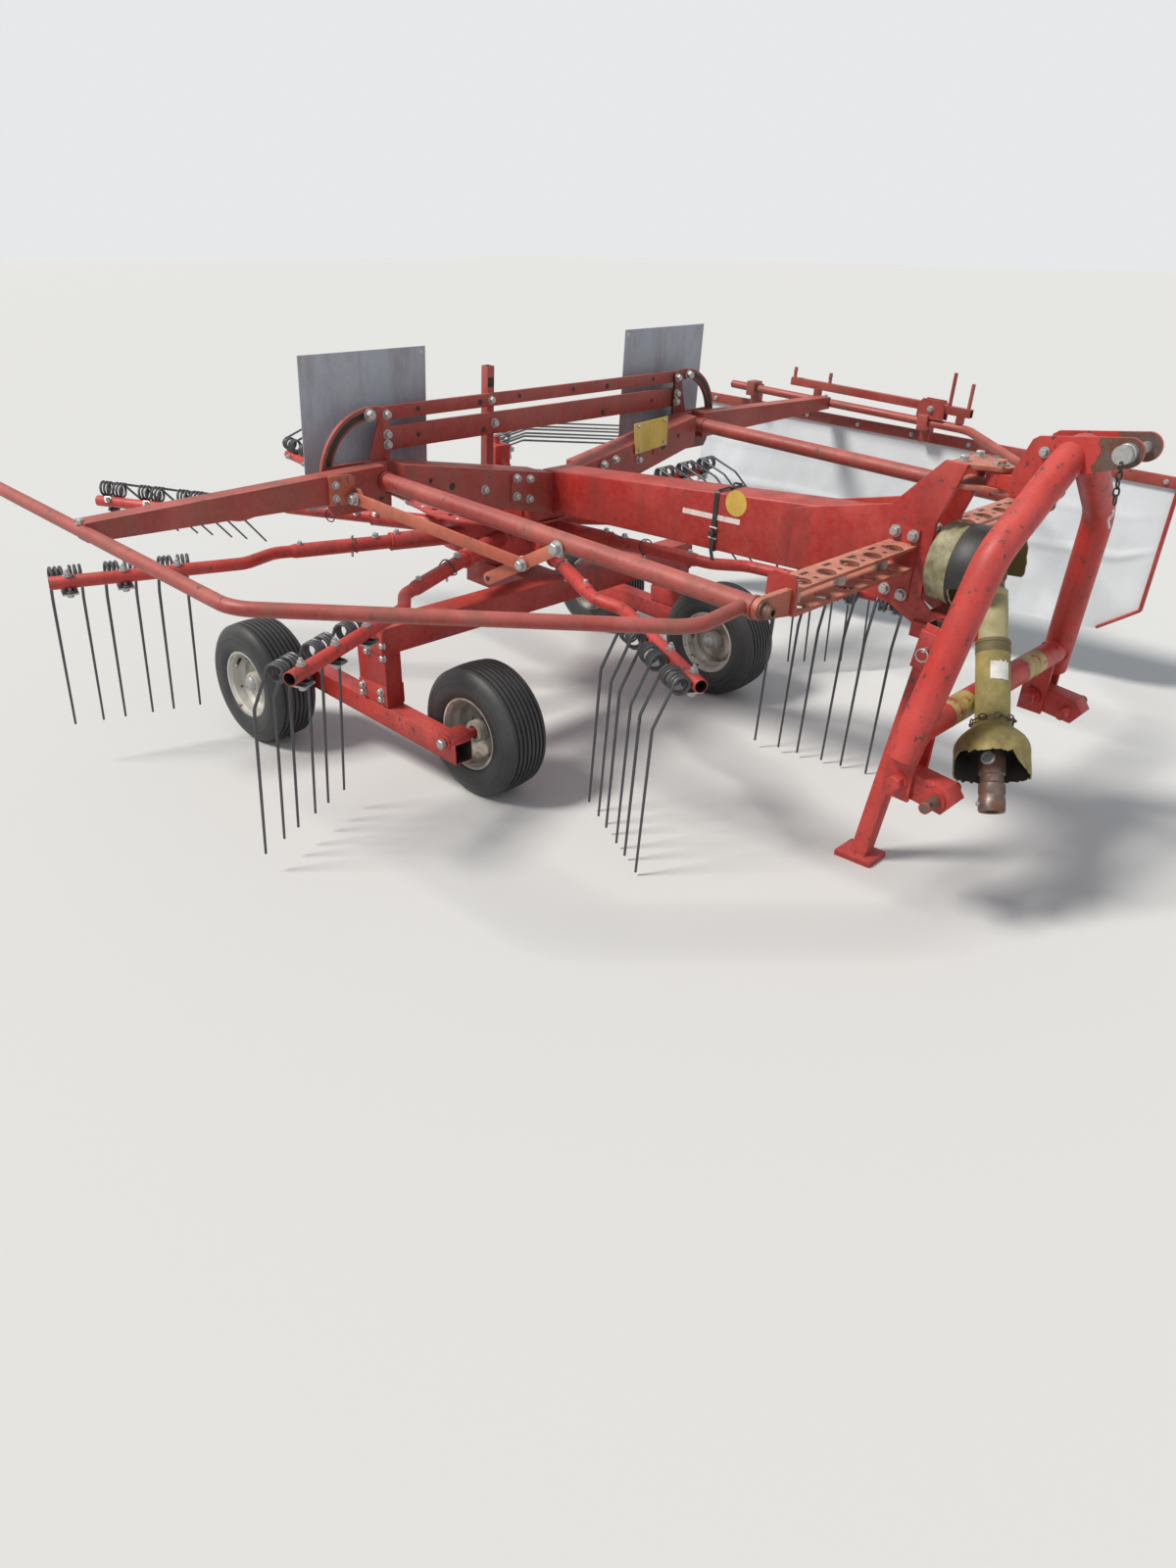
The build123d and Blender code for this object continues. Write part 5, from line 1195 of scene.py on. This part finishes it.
def woven(bm, origin, axis, outer, inner, rim, sides, finishes, dent=0.0):
    """A thin turned shell, cut where rim(outward direction) says along the axis; outer and
    inner list (distance along, radius), and finishes are for the outside and the inside."""
    origin, axis = Vector(origin), Vector(axis).normalized()
    normal = Z.cross(axis).normalized()
    across = axis.cross(normal)
    rings = []
    for along, radius in outer + list(reversed(inner)):
        ring = []
        for k in range(sides):
            out = normal * cos(2 * pi * k / sides) + across * sin(2 * pi * k / sides)
            reach = min(along, rim(out))
            pressed = dent * noise.noise(out * 1.7 + axis * reach / 45) * held((radius - 45) / 30)
            ring.append(bm.verts.new(origin + axis * reach + out * (radius + min(1.0, pressed))))
        rings.append(ring)
    for row, (first, second) in enumerate(neighbours(rings)):
        for k in range(sides):
            face = bm.faces.new((first[k], first[(k + 1) % sides], second[(k + 1) % sides], second[k]))
            face.material_index = finishes[row >= len(outer)]


print("held between 0 and 1:", held(-0.5), held(0.5), held(1.5))

# %% Drive cup
SHAFT_Z, CUP_REAR, CUP_FRONT, CUP_CUT = 930, 1650, 1829, 1732
CUP_OUT = [(0, 19), (0, 88), (6, 96), (14, 100), (24, 97), (34, 101), (44, 98), (58, 102), (140, 103),
           (179, 104.5)]
CUP_IN = [(4, 19), (4, 84), (16, 95), (58, 97), (140, 99), (179, 100.5)]


def cup_rim(out):
    """The cup's rim: full length above, cut back below for the shaft, and ragged all round."""
    ragged = 4.0 * noise.noise(out * 5)
    return CUP_FRONT - 5 + ragged - held((-out.z - 0.22) / 0.10) * (CUP_FRONT - CUP_CUT)


bm = bmesh.new()
# The cup's inside takes the darker yellow, painted shade.
woven(bm, Z * SHAFT_Z, X, [(CUP_REAR + s, r) for s, r in CUP_OUT], [(CUP_REAR + s, r) for s, r in CUP_IN],
      cup_rim, 84, (0, 1))
woven(bm, Z * SHAFT_Z, X, [(1714, 102.9), (1716, 104.2), (1776, 104.8), (1778, 103.4)],
      [(1714, 102.4), (1778, 102.8)], lambda out: cup_rim(out) - 3, 84, (2, 2))
for turn in range(4):
    angle = pi / 4 + turn * pi / 2
    bolt(bm, (CUP_REAR + 4, 60 * cos(angle), SHAFT_Z + 60 * sin(angle)), X, 15, 3)
piece("drive_cup_ragged", bm, "frame", [CUP_CREAM, SHAFT_PAINTED_SHADE, BLACK_RUBBER, ZINC],
      smooth=50, instead_of="drive_cup")
print("the cup is", CUP_FRONT - CUP_REAR, "mm deep, and", CUP_CUT - CUP_REAR, "mm below")

# %% [markdown]
# ## Drive shaft
# The shaft's guard is a tube in a wider sleeve that ends in a flared bell, torn in front,
# with the rusty yoke inside. The tubes are one turned form, whose stretches go from bleached
# yellow, to a darker yellow collar that is painted shade, to dirty yellow. The bell is woven
# like the cup, with a deep tear on the side that faces the camera and shallow dents, and its
# inside is near black as painted shade. A small blank label bends round the sleeve.

# %% Place of the shaft
LEAN_FORWARD, LEAN_RIGHT = radians(28.3), radians(29)
SHAFT_WAY = Vector((sin(LEAN_FORWARD) * cos(LEAN_RIGHT), -sin(LEAN_RIGHT),
                    -cos(LEAN_FORWARD) * cos(LEAN_RIGHT)))
JOINT = Vector((1790, 0, SHAFT_Z))
AROUND = SHAFT_WAY.cross(Z).normalized()
TORN_SIDE = Vector((-0.1, -0.72, 0.55)).normalized()


def round_shaft(angle):
    """A direction straight out of the shaft."""
    return AROUND * cos(angle) + SHAFT_WAY.cross(AROUND) * sin(angle)


def bell_rim(out):
    """The bell's mouth, torn far back on the front right side."""
    near = out.dot(TORN_SIDE)
    torn = 38 * held((near - 0.35) / 0.3) + 8 * held((near - 0.05) / 0.2)
    return 505 + 7 * noise.noise(out * 6) + 3 * noise.noise(out * 17) - torn


print("the shaft leans", round(Vector((0, 0, -1)).angle(SHAFT_WAY) * 180 / pi, 1), "degrees")

# %% Drive shaft guard
KNOB = [(-32, 0), (-30, 11), (-24, 21), (-14, 28.6), (0, 32), (14, 30), (20, 27), (22, 25.5), (58, 25.5),
        (58, 24)]
SLEEVES = [(44, 25), (44, 29), (48, 33.5), (60, 34), (62, 32.5), (66, 32.5), (68, 34), (172, 34),
           (174, 40), (180, 41), (182, 41), (184, 39), (188, 39), (190, 41), (205, 41), (207, 40),
           (384, 40.5), (384, 30)]
BELL_OUT = [(372, 40.6), (378, 43), (386, 46), (391, 51), (398, 61), (408, 73), (419, 81), (431, 85.5),
            (443, 87), (456, 86.6), (470, 87.2), (488, 88), (512, 89.5)]
BELL_IN = [(378, 30), (392, 46), (400, 58), (410, 69), (422, 78), (434, 82.5), (450, 83), (470, 84),
           (488, 85), (512, 86.5)]
LABEL_SIDE, LABEL_RADIUS = -1.65, 41.6
bm = bmesh.new()
turned(bm, JOINT, SHAFT_WAY, KNOB, 40, 4)
# The collar between the inner tube and the sleeve takes the darker yellow, painted shade.
turned(bm, JOINT, SHAFT_WAY, SLEEVES, 48, [0] * 7 + [1] * 8 + [2] * 2)
# The bell's inside is near black, painted shade.
woven(bm, JOINT, SHAFT_WAY, BELL_OUT, BELL_IN, bell_rim, 120, (2, 3), 5.0)
label = []
for k in range(11):
    out = round_shaft(LABEL_SIDE - 0.55 + 0.11 * k) * LABEL_RADIUS
    ragged = [s + 9 * noise.noise(Vector((k * 0.7, s, 0))) for s in (234, 256, 278)]
    label.append([bm.verts.new(JOINT + SHAFT_WAY * s + out) for s in ragged])
for first, second in neighbours(label):
    for k in range(2):
        bm.faces.new((first[k], second[k], second[k + 1], first[k + 1])).material_index = 5
loop = [JOINT + SHAFT_WAY * (374 + 6 * sin(pi * k / 16)) + round_shaft(pi * k / 16) * 47 for k in range(33)]
chain(bm, loop, 18, 2.0, 4)
guard_finishes = [SHAFT_PALE, SHAFT_PAINTED_SHADE, SHAFT_YELLOW, PAINTED_SHADE_BLACK, RUSTY, BLANK_LABEL]
piece("drive_shaft_guard_worn", bm, "drive_shaft", guard_finishes,
      smooth=40, instead_of="drive_shaft_guard")
print("bell:", BELL_OUT[-1][0] - BELL_OUT[0][0], "mm long")

# %% Yoke
YOKE = [(431, 0), (431, 24), (436, 28), (462, 30.8), (500, 31), (504, 27), (520, 26.5), (524, 30.6),
        (546, 31), (548, 29.4), (556, 29.4), (558, 31), (586, 31), (590, 29), (590, 18.6), (587, 17.6),
        (522, 17.6), (520, 0)]
CROSS_CAP = [(0, 0), (0, 17), (15, 17), (17, 15), (17, 11), (14.5, 10), (14.5, 0)]
bm = bmesh.new()
# The yoke's bore is near black, painted shade.
turned(bm, JOINT, SHAFT_WAY, YOKE, 40, [0] * 15 + [1] * 2)
for turn in range(6):
    spot = JOINT + round_shaft(2 * pi * turn / 6) * 20.5
    rod(bm, spot + SHAFT_WAY * 524, spot + SHAFT_WAY * 586, 3.4, 8, 0)
button = JOINT + SHAFT_WAY * 572
rod(bm, button + AROUND * 26, button + AROUND * 36, 6, 12, 2)
for way in (TORN_SIDE, -TORN_SIDE):
    turned(bm, JOINT + SHAFT_WAY * 470 + way * 20, way, CROSS_CAP, 24, 2)
piece("drive_yoke_splined", bm, "drive_shaft", [RUSTY, PAINTED_SHADE_BLACK, ZINC],
      smooth=40, instead_of="drive_yoke")
print("splines in the yoke:", 6)

# %% [markdown]
# ## Swath curtain
# The curtain is coated cloth, cut with a sloping lower edge and hung from its rail, so it
# ripples more the further it is from the rail, and keeps one crease where it is folded for
# the road. A cloth simulation could hang it, but a stiff coated sheet barely moves, so its
# ripples are given by a few waves and noise, small enough to leave its area true. A red
# beading runs down its front edge and round the cut corner.

# %% Form of the curtain
CURTAIN_REAR, CURTAIN_FRONT, CURTAIN_FACE = -350, 1720, 1612.4
CORNER, COLUMNS, ROWS = 1580, 150, 46


def curtain_ends(x):
    """Height of the curtain's lower and upper edge at a distance along it."""
    low = 200 + 130 * (x - CURTAIN_REAR) / 1930 if x < CORNER else 330 + 110 * (x - CORNER) / 140
    return low, 883 + 37 * (x - CURTAIN_REAR) / (CURTAIN_FRONT - CURTAIN_REAR)


def cloth_at(x, z):
    """A point of the hanging cloth: rippled below the rail, creased, and straight in front."""
    low, high = curtain_ends(x)
    drop = held((high - 42 - z) / 420) * min(1.0, (CURTAIN_FRONT - x) / 170)
    wave = (13 * sin(x / 105 + 1.4 * sin(x / 410)) + 12 * sin(x / 247 + 0.8)
            + 34 * noise.noise(Vector((x / 190, z / 300, 1.0)))
            + 7 * noise.noise(Vector((x / 60, z / 110, 4.0))))
    share = (z - low) / (high - low)
    crease = 9 * max(0.0, 1 - abs(share - 0.47) / 0.035) + 4 * max(0.0, 1 - abs(share - 0.72) / 0.03)
    y = min(CURTAIN_FACE + 3, CURTAIN_FACE - 28 * drop + drop * wave) - crease * min(1.0, 3 * drop)
    return Vector((x, y, z))


print("the curtain's rear edge runs from", curtain_ends(CURTAIN_REAR)[0], "to", curtain_ends(CURTAIN_REAR)[1])

# %% Curtain and its fixings
bm = bmesh.new()
grid = []
for column in range(COLUMNS + 1):
    x = CURTAIN_REAR + (CURTAIN_FRONT - CURTAIN_REAR) * column / COLUMNS
    low, high = curtain_ends(x)
    grid.append([bm.verts.new(cloth_at(x, low + (high - low) * row / ROWS)) for row in range(ROWS + 1)])
for first, second in neighbours(grid):
    for row in range(ROWS):
        bm.faces.new((first[row], second[row], second[row + 1], first[row + 1]))
curtain_body = nodes["curtain"]["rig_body"]
curtain = piece("curtain_hung", bm, curtain_body, [CLOTH], smooth=60, instead_of="curtain")
bm = bmesh.new()
bolts(bm, [(x, 1599.8, curtain_ends(x)[1] - 20) for x in range(-290, 1671, 245)], -Y, 13, 0)
edge = [cloth_at(1713, 912 - 58 * k) for k in range(9)]
edge += [cloth_at(x, curtain_ends(x)[0] + 6) for x in (1712, 1690, 1668, 1646, 1624, 1602, 1582)]
sweep(bm, [point - Y * 7.5 for point in edge], 6.5, 10, 1)
piece("curtain_fixings", bm, curtain_body, [ZINC, RED])
print("curtain area", round(sum(f.area for f in curtain.data.polygons), 3), "m2")

# %% [markdown]
# ## Sign plates and guard trim
# Two grey sign plates stand behind the link bars, riveted at their corners and left blank.
# The left guard carries a storage bar in a yoke with two pins. Rubber plugs close the tubes'
# rear ends, and collars keep the guards from sliding on their hinge pins. All are turned
# forms and slabs again, in one piece for each thing that moves by itself.

# %% Sign plates
SIGN_FRONT, SIGN_BACK = 166.4, 163.6
RIVET = [(0, 8), (1.6, 7.4), (3, 4), (3.4, 0)]
for word, hand in SIDES:
    edged(f"sign_plate_{word}", SIGN_GREY, 0.0008)
    bm = bmesh.new()
    for y, z in ((450, 866), (450, 1246), (850, 866), (850, 1246)):
        turned(bm, (SIGN_FRONT, hand * y, z), X, RIVET, 16, 0)
        turned(bm, (SIGN_BACK, hand * y, z), -X, RIVET, 16, 0)
    bolts(bm, front_face(SIGN_FRONT, ((650, 880), (650, 1106), (716, 870)), hand), X, 13, 1)
    piece(f"sign_rivets_{word}", bm, "frame", [CREAM, ZINC])
print("rivets:", 2 * 8)

# %% Storage bar and guard trim
GUARD_SIDE, BAR_Z = 1555, 1046
YOKE_PLATE = [(726, 963), (837, 963), (837, 1008), (822, 1034), (742, 1034), (726, 1008)]
bm = bmesh.new()
for way in (-1, 1):
    slab(bm, YOKE_PLATE, (0, GUARD_SIDE + way * 17, 0), X, Z, 6, 0)
bolt(bm, (781, GUARD_SIDE + 20, 1000), Y, 17, 1)
bolt(bm, (781, GUARD_SIDE - 20, 1000), -Y, 17, 1)
rod(bm, (847, GUARD_SIDE, 1020), (847, GUARD_SIDE, 1139), 7, 14, 0)
for x in (140, 310):
    rod(bm, (x, GUARD_SIDE - 15, BAR_Z), (x, GUARD_SIDE + 15, BAR_Z), 2.5, 8, 1)
piece("storage_bar_yoke", bm, "guard_left", [RED_DUSTY, ZINC])
for word, hand in SIDES:
    bm = bmesh.new()
    turned(bm, (-170, hand * GUARD_SIDE, HINGE_Z), -X, [(0, 15.9), (3, 15.9), (6, 13), (6, 0)], 24, 1)
    if word == "left":
        bolt(bm, (1028, 735.5, 948), Y, 17, 0)
    for x in (332, 1588):
        bush(bm, (x - 4, hand * HINGE_Y, HINGE_Z), X, 24.2, 27, 8, 2)
    bolt(bm, (300, hand * GUARD_SIDE, 963), Z, 15, 0)
    piece(f"guard_trim_{word}", bm, f"guard_{word}", [ZINC, BLACK_RUBBER, RED_DUSTY])
print("guards dressed:", len(SIDES))

# %% [markdown]
# ## Light and floor
# The photograph's sun stands high on the left. A bare sun would draw hard lines, and a lamp
# close by would burn out the floor beside it, so the key is a sun with a wide disc: it lights
# the floor evenly to the horizon, where it meets a backdrop of its own tone.

# %% Floor
bpy.ops.mesh.primitive_plane_add(size=120.0)
floor = bpy.context.object
floor.name = "floor"
floor_material = bpy.data.materials.new("pale floor")
floor_material.use_nodes = True
floor_shader = floor_material.node_tree.nodes["Principled BSDF"]
floor_shader.inputs["Base Color"].default_value = (0.60, 0.60, 0.59, 1)
floor_shader.inputs["Roughness"].default_value = 0.9
floor.data.materials.append(floor_material)
print("floor:", floor.dimensions.x, "m across")

# %% Suns
def soft_sun(name, comes_from, color, strength, disc):
    """A sun whose disc spans an angle in degrees, so that its shadows have soft edges."""
    data = bpy.data.lights.new(name, "SUN")
    data.color = color
    data.energy = strength
    data.angle = radians(disc)
    obj = bpy.data.objects.new(name, data)
    bpy.context.scene.collection.objects.link(obj)
    obj.rotation_euler = (-Vector(comes_from)).to_track_quat("-Z", "Y").to_euler()


soft_sun("key", (-0.45, -0.75, 1.1), (1.0, 0.96, 0.90), strength=3.5, disc=14)
soft_sun("fill", (1.2, -0.3, 0.5), (0.92, 0.96, 1.0), strength=0.5, disc=60)
print("suns:", len(bpy.data.lights))

# %% [markdown]
# ## Surroundings
# A pale blue sky lights the shadows, but what the camera and the gloss see behind the machine
# is a plain grey backdrop. Raising the sky until it looked white would wash out the paint, so
# Light Path tells the two kinds of ray apart and each gets its own background.

# %% Sky and backdrop
world = bpy.data.worlds.new("surround")
bpy.context.scene.world = world
world.use_nodes = True
sky = world.node_tree
sky.nodes["Background"].inputs["Color"].default_value = (0.84, 0.90, 0.98, 1)
sky.nodes["Background"].inputs["Strength"].default_value = 0.42
backdrop = add_node(sky, "ShaderNodeBackground", Color=(0.80, 0.81, 0.82, 1), Strength=1.0)
rays = sky.nodes.new("ShaderNodeLightPath").outputs
seen = math_node(sky, "ADD", rays["Is Camera Ray"], rays["Is Glossy Ray"])
seen = math_node(sky, "ADD", seen, rays["Is Transmission Ray"], clamp=True)
choose = add_node(sky, "ShaderNodeMixShader", Fac=seen)
sky.links.new(sky.nodes["Background"].outputs[0], choose.inputs[1])
sky.links.new(backdrop.outputs[0], choose.inputs[2])
sky.links.new(choose.outputs[0], sky.nodes["World Output"].inputs["Surface"])
print("nodes in the world:", len(sky.nodes))
